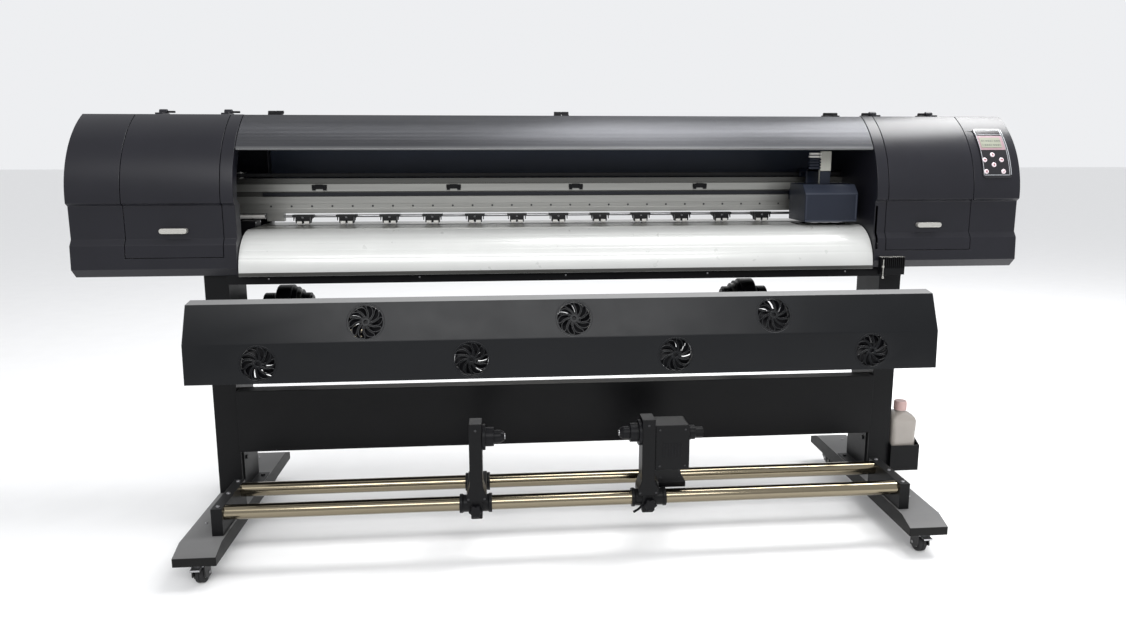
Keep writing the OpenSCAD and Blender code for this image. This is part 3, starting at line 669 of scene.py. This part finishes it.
def make_centre_cover():
    """The ribbed dark sheet over the print zone, its bright lower lip and its hinge knuckles."""
    half, thick, back_y = high("centre_cover")[0], 2.5, 128.0
    lip, rib_from, rib_to, pitch, depth = 31.1, 34.2, 58.6, 1.05, 0.55
    outer = [(lip, 0.0)]
    for i in range(int((rib_to - rib_from) / pitch)):
        a = rib_from + pitch * i
        outer += [(a, 0.0), (a + pitch * 0.18, -depth), (a + pitch * 0.38, -depth), (a + pitch * 0.56, 0.0)]
    outer += [(rib_to, 0.0)]
    line = [arc_point(0, a, out)[1:] for a, out in outer] + [(back_y, BODY_TOP), (back_y, BODY_TOP - thick)]
    line += [arc_point(0, rib_to - (rib_to - lip) * i / 20, -thick)[1:] for i in range(21)]
    sheet = Solids().prism(line, -half, half, YZ)
    body = body_of("centre_cover")
    piece("centre_cover.sheet", sheet, "cover_metal", body, ("centre_cover",), smooth=14)
    edge = Solids()
    arc_plate(edge, (-half, half), (lip, lip + 0.9), (-1.2, 0.4), steps=3)
    y, z = arc_point(0, lip, -thick)[1:]
    edge.cylinder(3.2, -half, half, along_x(0, y, z - 1.5), 0.8, 24)
    piece("centre_cover.lip", edge, "lip_metal", body)
    knuckles = Solids()
    for x in HINGES[2:5]:
        ear(knuckles, x)
    piece("centre_cover.knuckles", knuckles, "black_plastic", body)


KEYS = {"up": (1246, 26.1), "left": (1220, 22.8), "right": (1271, 22.8), "down": (1246, 19.7),
        "cancel": (1221, 15.5), "enter": (1273, 15.5)}


def make_panel():
    plate = Solids()
    arc_plate(plate, (1211, 1299), (11.6, 45.9), (0.0, 2.7), corner=9, steps=22)
    piece("panel.plate", plate, "panel", replaces=("control_panel",), bevel=0.5, angle=50)
    border = Solids()
    for sides in ((1213.2, 1214.6), (1291.0, 1292.4), (1295.6, 1297.4)):
        arc_plate(border, sides, (13.6, 44.4), (2.7, 3.3), steps=18)
    for low_a, high_a in ((13.2, 13.55), (44.4, 44.75), (40.6, 40.8)):
        arc_plate(border, (1214.6, 1291.0), (low_a, high_a), (2.7, 3.3), steps=2)
    piece("panel.border", border, "bezel")
    surround = Solids()
    arc_plate(surround, (1214.5, 1290), (29.4, 39.6), (2.7, 3.5), corner=2, steps=6)
    piece("panel.surround", surround, "display_frame")
    screen = Solids()
    arc_plate(screen, (1219, 1281), (30.9, 38.1), (3.5, 4.4), corner=1.5, steps=5)
    piece("panel.screen", screen, "display")
    digits = Solids()
    for row in range(2):
        for i in range(9):
            a = 32.1 + 3.0 * row
            wide = 4.2 if (i * 5 + row * 3) % 4 else 1.8
            arc_plate(digits, (1223 + 6.6 * i, 1223 + 6.6 * i + wide), (a, a + 1.15), (4.4, 4.6), steps=2)
    piece("panel.characters", digits, "lcd_ink")
    arrow = [(4.2, 0), (-0.6, 3.6), (-0.6, 1.3), (-4, 1.3), (-4, -1.3), (-0.6, -1.3), (-0.6, -3.6)]
    for name, (x, a) in KEYS.items():
        cap = Solids().lathe([(0, -2), (7, -2), (7, 3.4), (6.4, 4.4), (5.0, 4.9), (0, 5)], on_arc(x, a), 36)
        piece("key_cap." + name, cap, "key", body_of("key_" + name), ("key_" + name,))
        mark = Solids()
        place = on_arc(x, a, 4.95)
        turn = {"up": 90, "left": 180, "right": 0, "down": 270}.get(name)
        if turn is not None:
            mark.prism(arrow, 0, 0.15, spun(place, turn))
        elif name == "cancel":
            for lean in (45, 135):
                cross = spun(place, lean)
                mark.prism(rectangle(-4.2, -0.9, 4.2, 0.9), 0, 0.15 + lean * 0.0002, cross)
        else:
            mark.ribbon([(-3.8, 0.2), (-1.2, -2.6), (3.8, 3.0)], 1.8, 0, 0.15, place)
        piece("key_mark." + name, mark, "key_ink", body_of("key_" + name))


# ---- print zone

BEAM_FRONT, BEAM_BASE, BEAM_TOP = 205.0, 894.0, 998.0
FEED_Y, FEED_Z = middle("feed_roller")[1:]
PINCH_R = 8.0
LIFT_Y, LIFT_Z = 222, 884
PINCH_Z = FEED_Z + 12 + PINCH_R + 0.1
ARMS = [-770 + 127.3 * i for i in range(12)]


def make_media_path():
    """White enamelled plates in front of and behind the platen, with pressed lines along them."""
    half, _, top = high("media_guides")
    radius = 110.0
    centre_y, centre_z = 70.0, top - radius
    outer = []
    for i in range(61):
        a = radians(90 + 1.5 * i)
        sunk = 0.45 if i in (14, 22, 30, 38, 46) else 0.0
        outer.append((centre_y + (radius - sunk) * cos(a), centre_z + (radius - sunk) * sin(a)))
    inner = [(centre_y + (radius - 2) * cos(radians(180 - 4.5 * i)),
              centre_z + (radius - 2) * sin(radians(180 - 4.5 * i))) for i in range(21)]
    sheets = Solids().prism([(70, top)] + outer[1:] + [(-40, 742), (-38, 742)] + inner, -half, half, YZ)
    rear = [(290 + 38 * cos(radians(90 - 9 * i)), 822 + 38 * sin(radians(90 - 9 * i)))
            for i in range(11)]
    back = [(290 + 36 * cos(radians(9 * i)), 822 + 36 * sin(radians(9 * i)))
            for i in range(11)]
    sheets.prism(rear + [(328, 745), (326, 745)] + back, -half, half, YZ)
    piece("media_guides.sheets", sheets, "white_guide", replaces=("media_guides",),
          bevel=0.3, angle=60, smooth=12)
    strip = Solids()
    strip.block((-half, -40.9, 742.5), (half, -39.8, 752), 0.3)
    piece("media_guides.strip", strip, "strip_alu")
    refined("platen", "aluminium", 0.4)
    # The vacuum holes are thin black discs on the platen top: painted shade standing in for open holes.
    holes = Solids()
    for y in (96, 128, 152):
        for i in range(58):
            x = -870 + 27 * i
            if x < 700:
                holes.cylinder(1.6, 0, 0.12, at(x, y, high("platen")[2]), 0.05, 10)
    piece("platen.holes", holes, "hole_black")


def make_beam():
    back = high("carriage_beam")[1]
    outline = [(BEAM_FRONT, BEAM_BASE)]
    for z0, z1, depth in ((908, 922, 2), (944, 959, 5), (981, 984, 2)):
        sunk = BEAM_FRONT + depth
        outline += [(BEAM_FRONT, z0), (sunk, z0), (sunk, z1), (BEAM_FRONT, z1)]
    outline += [(BEAM_FRONT, BEAM_TOP), (back, BEAM_TOP), (back, BEAM_BASE)]
    beam = Solids().prism(outline, low("carriage_beam")[0], high("carriage_beam")[0], YZ)
    beam.cylinder(4, BEAM_TOP, BEAM_TOP + 20, at(-962, 240, 0))
    for side in (-1, 1):
        low_x, high_x = sorted((side * 832, side * 882))
        beam.block((low_x, 206, 870), (high_x, 229, 894.2), 1.0)
    dark = lambda c, n: n.y < -0.9 and (c.z > 980 or c.y > 209)
    piece("beam.extrusion", beam, "aluminium", replaces=("carriage_beam",), bevel=0.5,
          angle=50, paint=(("strip_alu", dark),))
    heads = Solids()
    for i in range(30):
        heads.cylinder(3.0, -0.4, 0.9, facing(-868 + 60 * i, 207, 915, FRONT), 0.4, 20)
    piece("beam.screws", heads, "hole_black")
    clips = Solids()
    for x in (-723, -324, 49, 437):
        clips.block((x - 22, 201, 968), (x + 22, 205, 979), 1.2)
        clips.block((x - 12, 199.2, 966.5), (x + 12, 203, 980), 1.2)
        for side in (-1, 1):
            clips.block((x + side * 16 - 5, 199.2, 962.2), (x + side * 16 + 5, 203, 970), 1.0)
            clips.screw(x + side * 16.5, 201, 974.5, FRONT, 2.2, 1.0)
    piece("beam.clips", clips, "black_plastic")
    refined("guide_rail", "rail_steel", 0.6)
    refined("drive_belt", "rubber", 0.0)


def make_pinch_parts():
    arms, screws = Solids(), Solids()
    cheek = [(174, 874), (177, 892), (203, 891), (232, 888), (232, 879), (205, 876), (200, 866), (180, 866)]
    roof = [(174.6, 878), (177, 891.6), (203, 890.6), (231, 887.6), (231, 880), (205, 878.2), (185, 878)]
    for x in ARMS:
        for a, b in ((-21, -18.6), (-2.2, 2.2), (18.6, 21)):
            arms.prism(cheek, x + a, x + b, YZ)
        arms.prism(roof, x - 19, x + 19, YZ)
        arms.prism([(174.2, 873.6), (177, 891.5), (179, 891.5), (176.2, 873.6)], x - 20.8, x + 20.8, YZ)
        arms.prism([(175, 885), (177, 892), (203, 891), (203, 885)], x - 30, x + 30, YZ, 0.4)
        for side in (-1, 1):
            arms.prism([(177, 874), (177, 887), (190, 887)], x + side * 26 - 1.2, x + side * 26 + 1.2, YZ)
            screws.screw(x + side * 25, 188, 891.5, UP, 2.6, 1.0)
        screws.tube([(x + 13 * cos(0.9 * k) * 0.25, 176.4 - 0.8, 879 + 0.12 * k) for k in range(60)], 0.45, 6)
        screws.cylinder(2, x - 20, x + 20, along_x(0, FEED_Y, PINCH_Z), 0.2, 16)
    body = body_of("pinch_arms")
    piece("pinch_arms.cheeks", arms, "black_plastic", body, ("pinch_arms",), bevel=0.3)
    piece("pinch_arms.screws", screws, "steel", body)
    shaft = Solids()
    shaft.cylinder(4, -890, 890, along_x(0, LIFT_Y, LIFT_Z), 0.4, 24)
    shaft.lathe([(4, -966), (7.5, -965), (7.5, -932), (6.6, -931), (6.6, -926), (7.5, -925), (7.5, -890),
                 (4, -889)], along_x(0, LIFT_Y, LIFT_Z), 28)
    piece("pinch_arms.shaft", shaft, "steel", body,
          paint=(("white_plastic", lambda c, n: c.x < -889 and c.x > -966 and abs(n.x) < 0.9),))
    rollers = Solids()
    half = [(2.1, -7.5), (4.4, -7.5), (4.7, -6.6), (7.2, -7.4), (8, -6.6)]
    profile = half + [(r, -h) for r, h in half[::-1]]
    for x in ARMS:
        for side in (-1, 1):
            rollers.lathe(profile, along_x(x + side * 10.5, FEED_Y, PINCH_Z), 28)
    hub = lambda c, n: hypot(c.y - FEED_Y, c.z - PINCH_Z) < 4.6
    piece("pinch_rollers.tyres", rollers, "white_plastic", body_of("pinch_rollers"),
          ("pinch_rollers",), paint=(("black_plastic", hub),))
    refined("feed_roller", "steel", 0.3)
    refined("pinch_lever", "black_plastic", 0.4)


def make_carriage():
    x0, x1 = low("carriage")[0], high("carriage")[0]
    body = body_of("carriage")
    shell = Solids()
    shell.prism([(34, 872), (30, 878), (30, 953), (33, 958), (57, 982), (160, 982), (160, 872)], x0, x1, YZ)
    shell.block((x0 + 12, 158, 956.4), (x1 - 12, 201.8, 960), 0.4)
    shell.block((x0 + 12, 158, 929), (x1 - 12, 201.8, 945.6), 0.4)
    shell.block((x0 + 12, 158, 929), (x1 - 12, 197.5, 960), 0.4)
    shell.block((x0 + 50, 159.2, 975), (x1 - 50, 168, 1024), 0.8)
    shell.block((x0 + 50, 159.2, 1014.6), (x1 - 50, 236, 1024), 0.8)
    shell.block((x0 + 50, 212, 999.6), (x1 - 50, 222.5, 1016), 0.8)
    edge = lambda c, n: n.y < -0.4 and n.z > 0.4 and c.y < 58 and c.z > 952
    piece("carriage.shell", shell, "navy_paint", body, ("carriage",), bevel=2.2,
          angle=40, paint=(("carriage_edge", edge),))
    trim = Solids()
    trim.block((x0 + 2, 29.2, 873), (x1 - 2, 31.5, 877.5), 0.8)
    trim.block((x1 - 7, 29.3, 880), (x1 - 2.5, 31.5, 951), 0.8)
    trim.block((x0 + 3, 29.4, 882), (x0 + 5, 31.5, 950), 0.6)
    piece("carriage.trim", trim, "carriage_edge", body)
    heads = Solids()
    heads.block((x0 + 30, 60, 868), (x1 - 30, 140, 872), 0.8)
    for i in range(3):
        heads.block((x0 + 38 + 32 * i, 70, 866), (x0 + 58 + 32 * i, 130, 869), 0.5)
    piece("carriage.heads", heads, "steel", body)
    bracket = Solids()
    bracket.block((x0 + 66, 97, 980), (x0 + 100, 100, 1019), 0.8)
    bracket.block((x0 + 66, 97, 1019.5), (x0 + 100, 100, 1079), 0.8)
    bracket.block((x0 + 66, 92.2, 1020), (x0 + 99, 97.5, 1078.5), 1.5)
    rib = rounded([(97, 980), (104, 980), (104, 1018), (99, 1060), (97, 1060)], 1.5)
    bracket.prism(rib, x0 + 66, x0 + 68.5, YZ)
    piece("carriage.bracket", bracket, "bracket_beige", body,
          paint=(("navy_paint", lambda c, n: c.z < 1019.5),))
    plugs = Solids()
    for i in range(6):
        z = 1026 + 8.4 * i
        plugs.block((x0 + 32 + 1.5 * (i % 2), 94, z), (x0 + 66.5, 103, z + 5.6), 0.8)
        plugs.block((x0 + 62, 91.8, z + 0.6), (x0 + 67.5, 93.2, z + 5), 0.3)
    piece("carriage.plugs", plugs, "white_plastic", body,
          paint=(("navy_paint", lambda c, n: c.z < 1058),))
    lines = Solids()
    for x in (x0 + 12, x1 - 12):
        for y in (70, 145):
            lines.screw(x, y, 982, UP, 3, 1.4)
    piece("carriage.details", lines, "black_plastic", body)


def make_drive():
    refined("drive_motors", "black_plastic", 0.8)
    refined("capping_station", "black_plastic", 0.8)
    refined("ink_tanks", "white_plastic", 1.5)
    refined("motor_pulley", "aluminium", 0.3)
    refined("idler_pulley", "aluminium", 0.3)
    bits = Solids()
    for y in (-22, 22):
        for z in (-22, 22):
            bits.screw(-902, FEED_Y + y, FEED_Z + z, RIGHT, 2.8, 1.4)
    for i in range(4):
        bits.cylinder(9, 960, 966, at(-1294 + 26 * i, 160, 0), 1.0, 24)
    piece("drive.bits", bits, "steel")


# ---- dryer

HOOD_TOP, HOOD_RIDGE, HOOD_BASE = (-270.0, 711.5), (-308.0, 620.0), (-311.0, 521.0)
FAN_R, FAN_PITCH = 46.0, high("fan_2")[0] - high("fan_1")[0]


def on_hood(i):
    """The place of fan i on its hood face, with Z pointing outward."""
    low_end, high_end = (HOOD_RIDGE, HOOD_TOP) if i % 2 else (HOOD_BASE, HOOD_RIDGE)
    tilt = degrees(atan2(high_end[0] - low_end[0], high_end[1] - low_end[1]))
    turn = Matrix.Rotation(radians(90 - tilt), 4, "X")
    return at((i - 3) * FAN_PITCH, (low_end[0] + high_end[0]) / 2, (low_end[1] + high_end[1]) / 2, turn)


def petal(turn):
    """Outline of one swirling petal of a grille: narrow at the hub, round at its outer end."""
    root, round_from, tip, narrow, wide = 7.5, 33.0, 42.6, 1.9, 9.3
    side = [(root + (round_from - root) * k / 8, narrow + (wide - narrow) * k / 8) for k in range(9)]
    side += [(round_from + (tip - round_from) * sin(pi * k / 12), wide * cos(pi * k / 12))
             for k in range(1, 6)]
    outline = []
    for sense, points in ((-1, side), (1, [(tip, 0.0)] + side[::-1])):
        for r, half in points:
            a = radians(turn + 40 * (r - root) / (tip - root)) + sense * half / r
            outline.append((r * cos(a), r * sin(a)))
    return outline


def make_dryer():
    # The hood's pale top face is a painted reflection that comes with its finish.
    refined("dryer_hood", "hood_paint", 0.8)
    grilles, frames = Solids(), Solids()
    blade = [(t, 0) for t in (-1, -0.3, 0.4, 1)] + [(t, 1.2) for t in (1, 0.4, -0.3, -1)]
    border = square(FAN_R, FAN_R, 64)
    for i in range(7):
        place = on_hood(i)
        grilles.ring(circle(FAN_R - 0.1, 64), circle(42.2, 64), -2.0, 0.0, place)
        grilles.ring(circle(9.4, 32), circle(5.6, 32), -2.0, -0.02, place)
        for k in range(10):
            loop = petal(36 * k + 8)
            grilles.ring(loop, inset(loop, 1.8), -1.95, -0.05 - 0.01 * (k % 2), place)
        frames.ring(border, circle(43, 64), -28, -2.6, place)
        frames.lathe([(0, -28), (15, -28), (16, -27), (16, -24.6), (2.4, -24), (2.4, -10), (0, -10)],
                     place, 32)
        for k in range(3):
            frames.prism(rectangle(12, -2, 43.6, 2), -27.8, -24.2,
                         spun(place, 120 * k + 45))
        rotor = Solids()
        rotor.lathe([(0, -9), (2.6, -9), (2.6, -23), (16, -23), (17, -22), (17, -7.6), (15.4, -6), (0, -6)],
                    place, 40)
        for k in range(7):
            rings = []
            for step in range(6):
                r = 15.5 + 26.7 * step / 5
                points = []
                for t, lift in blade:
                    a = radians(k * 360 / 7 + 5 * step + 27 * t)
                    points.append((r * cos(a), r * sin(a), -21.6 + 6.6 * (t + 1) + lift))
                rings.append(points)
            rotor.loops(rings, place)
        name = f"fan_{i + 1}"
        piece(name + ".rotor", rotor, "black_plastic", body_of(name), (name,), smooth=35)
    piece("fan.grilles", grilles, "hood_paint", bevel=0.25, angle=60)
    piece("fan.housings", frames, "black_plastic", replaces=("fan_frames",), bevel=0.3)
    ends = Solids()
    for side in (-1, 1):
        for y, z in ((-285, 640), (-292, 545)):
            ends.screw(side * 948, y, z, (side, 0, 0), 3.2, 1.4)
    piece("hood.screws", ends, "steel")


# ---- roll handling

def core_hub(solids, place):
    """A stepped core hub, nose away from its post, with raised gripping ribs."""
    solids.lathe([(8.2, 0), (33, 0), (34, 1), (34, 7), (33, 8), (25, 8), (25, 29), (24, 30), (17, 30),
                  (17, 48), (16, 49), (12, 57), (8.2, 57)], place, 56)
    for k in range(6):
        rib = spun(place, 60 * k)
        solids.prism(rectangle(22, -2.2, 24.9, 2.2), 8, 29, rib, 0.4)
        solids.prism(rectangle(28, -2.6, 33.6, 2.6), 0.2, 7.8, rib)


# x spans of the front sleeve, the arm and the link plate, and the height of the arm
POSTS = {"left": ((-299, -214), (-271, -237), (-290, -222), 385),
         "right": ((159, 252), (183, 218), (230, 321), 384)}


def clamp_post(front_x, arm_x, link_x, top):
    """A take-up post: flanged sleeves on both tubes, a plate between them and the upright arm.

    The sleeves are bored for their tubes, but the blocks at the arm's foot aren't.
    """
    post = Solids()
    for (x0, x1), y in ((front_x, -240), (link_x, -105)):
        post.lathe([(19.1, x0), (24.6, x0), (24.8, x0 + 7), (22.2, x0 + 11), (22.2, x1 - 11), (24.8, x1 - 7),
                    (24.6, x1), (19.1, x1)], along_x(0, y, TUBE_Z), 48)
    post.block((link_x[0] + 8, -216, 172), (link_x[1] - 8, -100, 188), 2)
    post.block((front_x[0] + 20, -262, 174), (front_x[1] - 20, -215, 194), 3)
    flare = [(arm_x[0], top), (arm_x[1], top), (arm_x[1], 214), (arm_x[1] + 9, 190), (arm_x[1] + 9, 172),
             (arm_x[0] - 9, 172), (arm_x[0] - 9, 190), (arm_x[0], 214)]
    post.prism(rounded(flare, 2.5), 213.5, 266, XZ, 1.2)
    post.block((arm_x[0] + 2, -265.5, 125), (arm_x[1] - 2, -214, 174), 3)
    return post


def clamp_bits(screws, knobs, front_x, arm_x, link_x):
    """Screws and the clamping knob of a take-up post."""
    knob_x = (front_x[0] + front_x[1]) / 2
    for x in (arm_x[0] - 4, arm_x[1] + 4):
        screws.screw(x, -266, 181, FRONT, 3.2, 1.2)
    screws.screw((arm_x[0] + arm_x[1]) / 2, -266, 368, FRONT, 3.4, 1.2)
    for x in (link_x[0] + 18, link_x[1] - 18):
        for y in (-190, -118):
            screws.screw(x, y, 188, UP, 3.6, 1.8)
    lobes = [(15.5 + 2.2 * cos(6 * a), a) for a in (2 * pi * k / 60 for k in range(60))]
    knobs.prism(polar(lobes), 0, 13, facing(knob_x, -266, 150, FRONT), 2)
    knobs.cylinder(7, 0, 3, facing(knob_x, -264, 150, FRONT))


def make_takeup():
    left, right = body_of("takeup_left_post"), body_of("takeup_right_post")
    post = clamp_post(*POSTS["left"])
    post.cylinder(8, -238, -186, along_x(0, HUB_Y, HUB_Z), 0.6)
    piece("takeup_left.post", post, "frame_paint", left, ("takeup_left_post",), 0.8)
    post = clamp_post(*POSTS["right"])
    motor_box = rounded([(218, 243), (306, 243), (310, 247), (310, 363), (306, 367), (218, 367)], 2)
    post.prism(motor_box, 192.5, 265, XZ, 1.5)
    post.cylinder(19, 310, 328, along_x(0, HUB_Y, HUB_Z - 4), 1.5)
    wing = [(13.8 - 4.6 * cos(2 * a) ** 2 * (abs(sin(a)) < 0.6), a)
            for a in (2 * pi * k / 48 for k in range(48))]
    post.prism(polar(wing), 328, 350, at(0, HUB_Y, HUB_Z - 4) @ YZ, 1.0)
    piece("takeup_right.post", post, "frame_paint", right, ("takeup_right_post",), 0.8)
    for name, body in (("left", left), ("right", right)):
        screws, knobs = Solids(), Solids()
        clamp_bits(screws, knobs, *POSTS[name][:3])
        if name == "right":
            for z in (255, 355):
                for x in (230, 298):
                    screws.screw(x, -265, z, FRONT, 2.8, 1.4)
            for k in range(7):
                knobs.block((238 + 8 * k, -266, 280), (241 + 8 * k, -263, 318), 0.8)
            knobs.ring(circle(20.5, 40), circle(19.05, 40), 312, 315, at(0, HUB_Y, HUB_Z - 4) @ YZ)
            knobs.tube([(190, -262, 148), (172, -272, 138), (160, -276, 134)], 3.2, 12)
        piece(f"takeup_{name}.screws", screws, "dark_steel", body)
        piece(f"takeup_{name}.knob", knobs, "black_plastic", body)
        sense = 1 if name == "left" else -1
        hub = Solids()
        core_hub(hub, along_x(-236.5, HUB_Y, HUB_Z) if name == "left" else along_x(182.5, HUB_Y, HUB_Z, -1))
        node = f"takeup_{name}_hub"
        piece(node + ".turned", hub, "black_plastic", body_of(node), (node,), bevel=0.3, angle=50)
        nose = Solids()
        reach = -236.5 + 57 if name == "left" else 182.5 - 57
        nose.cylinder(8.0, 0, 3, along_x(reach, HUB_Y, HUB_Z, sense), 0.8, 24)
        piece(node + ".nose", nose, "steel", left if name == "left" else body_of(node))


def make_rear_holders():
    for node, sense, start in (("rear_left_holder", 1, -873.0), ("rear_right_holder", -1, 633.0)):
        place = along_x(start, HOLDER_Y, HOLDER_Z, sense)
        profile = [(0, -44), (36, -44), (38, -42), (38, -16), (36, -14), (30, -14), (30, 0), (61, 0), (63, 2),
                   (63, 44), (61, 46), (56, 46), (56, 59), (55, 60), (48, 60), (48, 71), (47, 72), (37.5, 72),
                   (37.5, 96), (36.5, 97), (30, 97), (30, 101), (29, 102), (0, 102)]
        drum = Solids().lathe(profile, place, 64)
        for k in range(12):
            drum.prism(rectangle(55, -3, 62.8, 3), 4, 42, spun(place, 30 * k))
        for k in range(6):
            rib = spun(place, 60 * k + 15)
            drum.prism(rectangle(34, -2, 37.4, 2), 72, 96, rib)
        ring_x = (start + sense * 60, start + sense * 72)
        ring = lambda c, n: min(ring_x) < c.x < max(ring_x) and hypot(c.y - HOLDER_Y, c.z - HOLDER_Z) > 46
        piece(node + ".drum", drum, "black_plastic", body_of(node), (node,), bevel=0.3,
              angle=50, paint=(("strip_alu", ring),))
        base = Solids()
        span = sorted((start, start + sense * 60))
        x0, x1 = span[0], span[1]
        saddle = rounded([(192, 532), (228, 532), (292, 532), (328, 532), (328, 538), (298, 598), (222, 598),
                          (192, 538)], 2)
        base.prism(saddle, x0, x1, YZ, 1.0)
        for y in (215.0, 305.0):
            base.ring(square(25, 28, 48), circle(TUBE_R + 0.1, 48), x0, x1, at(0, y, 504.5) @ YZ, 0.8)
        base.block((x0, 238, 486), (x1, 282, 533), 1.0)
        for x in (x0 + 14, x1 - 14):
            base.screw(x, 330, 504, BACK, 4, 2)
            base.screw(x, 190, 504, FRONT, 4, 2)
        piece(node + ".base", base, "black_plastic", body_of(node))


def make_bottle():
    """A square waste bottle with rounded edges, shoulders and a ribbed cap."""
    x, y, _ = middle("waste_bottle")
    z = low("waste_bottle")[2]
    rows = [(33, 0), (37, 2), (39, 6), (39, 34), (38, 38), (38, 118), (39, 122), (39, 150), (37, 158),
            (31, 166), (23, 171), (16.5, 174), (15, 176), (15, 181)]
    rings = []
    for half, height in rows:
        corner = min(half * 0.999, 12 + max(0, 39 - half) * 0.7)
        outline = rectangle(-half, -half, half, half, corner * 1.2, 7)
        rings.append([(x + a, y + b, z + height) for a, b in outline])
    jar = Solids().loops(rings, FLAT)
    body = body_of("waste_bottle")
    piece("bottle.jar", jar, "bottle_white", body, ("waste_bottle",))
    cap = Solids().lathe([(0, 178), (18, 178), (18.6, 179), (18.6, 203), (17, 205.6), (0, 206)],
                         at(x, y, z), 48)
    for k in range(36):
        rib = spun(at(x, y, z), 10 * k)
        cap.prism(rectangle(17.8, -0.7, 19.0, 0.7), 180, 202, rib)
    piece("bottle.cap", cap, "cap_pink", body)


# ---- stage

def make_stage():
    """A pale floor, a pale room and soft studio light."""
    mesh = bpy.data.meshes.new("floor")
    bm = bmesh.new()
    bmesh.ops.create_grid(bm, x_segments=8, y_segments=8, size=40)
    bm.to_mesh(mesh)
    bm.free()
    floor = placed("floor", mesh)
    paint = surface("floor_paint", (0.84, 0.84, 0.84), 0.8, mottle=0.01, grain=0.02, specular=0.2)
    mesh.materials.append(paint)
    world = bpy.data.worlds.new("studio")
    world.use_nodes = True
    world.node_tree.nodes["Background"].inputs["Color"].default_value = (0.97, 0.98, 1.0, 1)
    world.node_tree.nodes["Background"].inputs["Strength"].default_value = 0.88
    bpy.context.scene.world = world
    for name, place, target, size, power in (
        ("key_light", (-2.2, -3.6, 3.4), (0, 0, 0.6), (2.4, 1.4), 15),
        ("front_high", (-0.1, -3.1, 2.5), (0, -0.3, 0.7), (3.0, 0.8), 70),
        ("ceiling_middle", (0.62, -0.1, 3.4), (0.4, 0.0, 1.1), (1.3, 1.2), 50),
        ("ceiling_right", (2.3, 0.38, 3.3), (2.0, 0.1, 1.1), (1.1, 1.9), 112),
        ("back_light", (0.5, 3.4, 2.6), (0, 0, 0.8), (3.0, 1.5), 22),
    ):
        data = bpy.data.lights.new(name, "AREA")
        data.shape = "RECTANGLE"
        data.size, data.size_y = size
        data.energy = power
        light = placed(name, data)
        light.location = place
        light.rotation_euler = (Vector(target) - Vector(place)).to_track_quat("-Z", "Y").to_euler()
    bpy.context.scene.view_settings.view_transform = "Standard"


make_stand()
make_shells()
make_shell_details()
make_centre_cover()
make_panel()
make_media_path()
make_beam()
make_pinch_parts()
make_carriage()
make_drive()
make_dryer()
make_takeup()
make_rear_holders()
make_bottle()
make_stage()
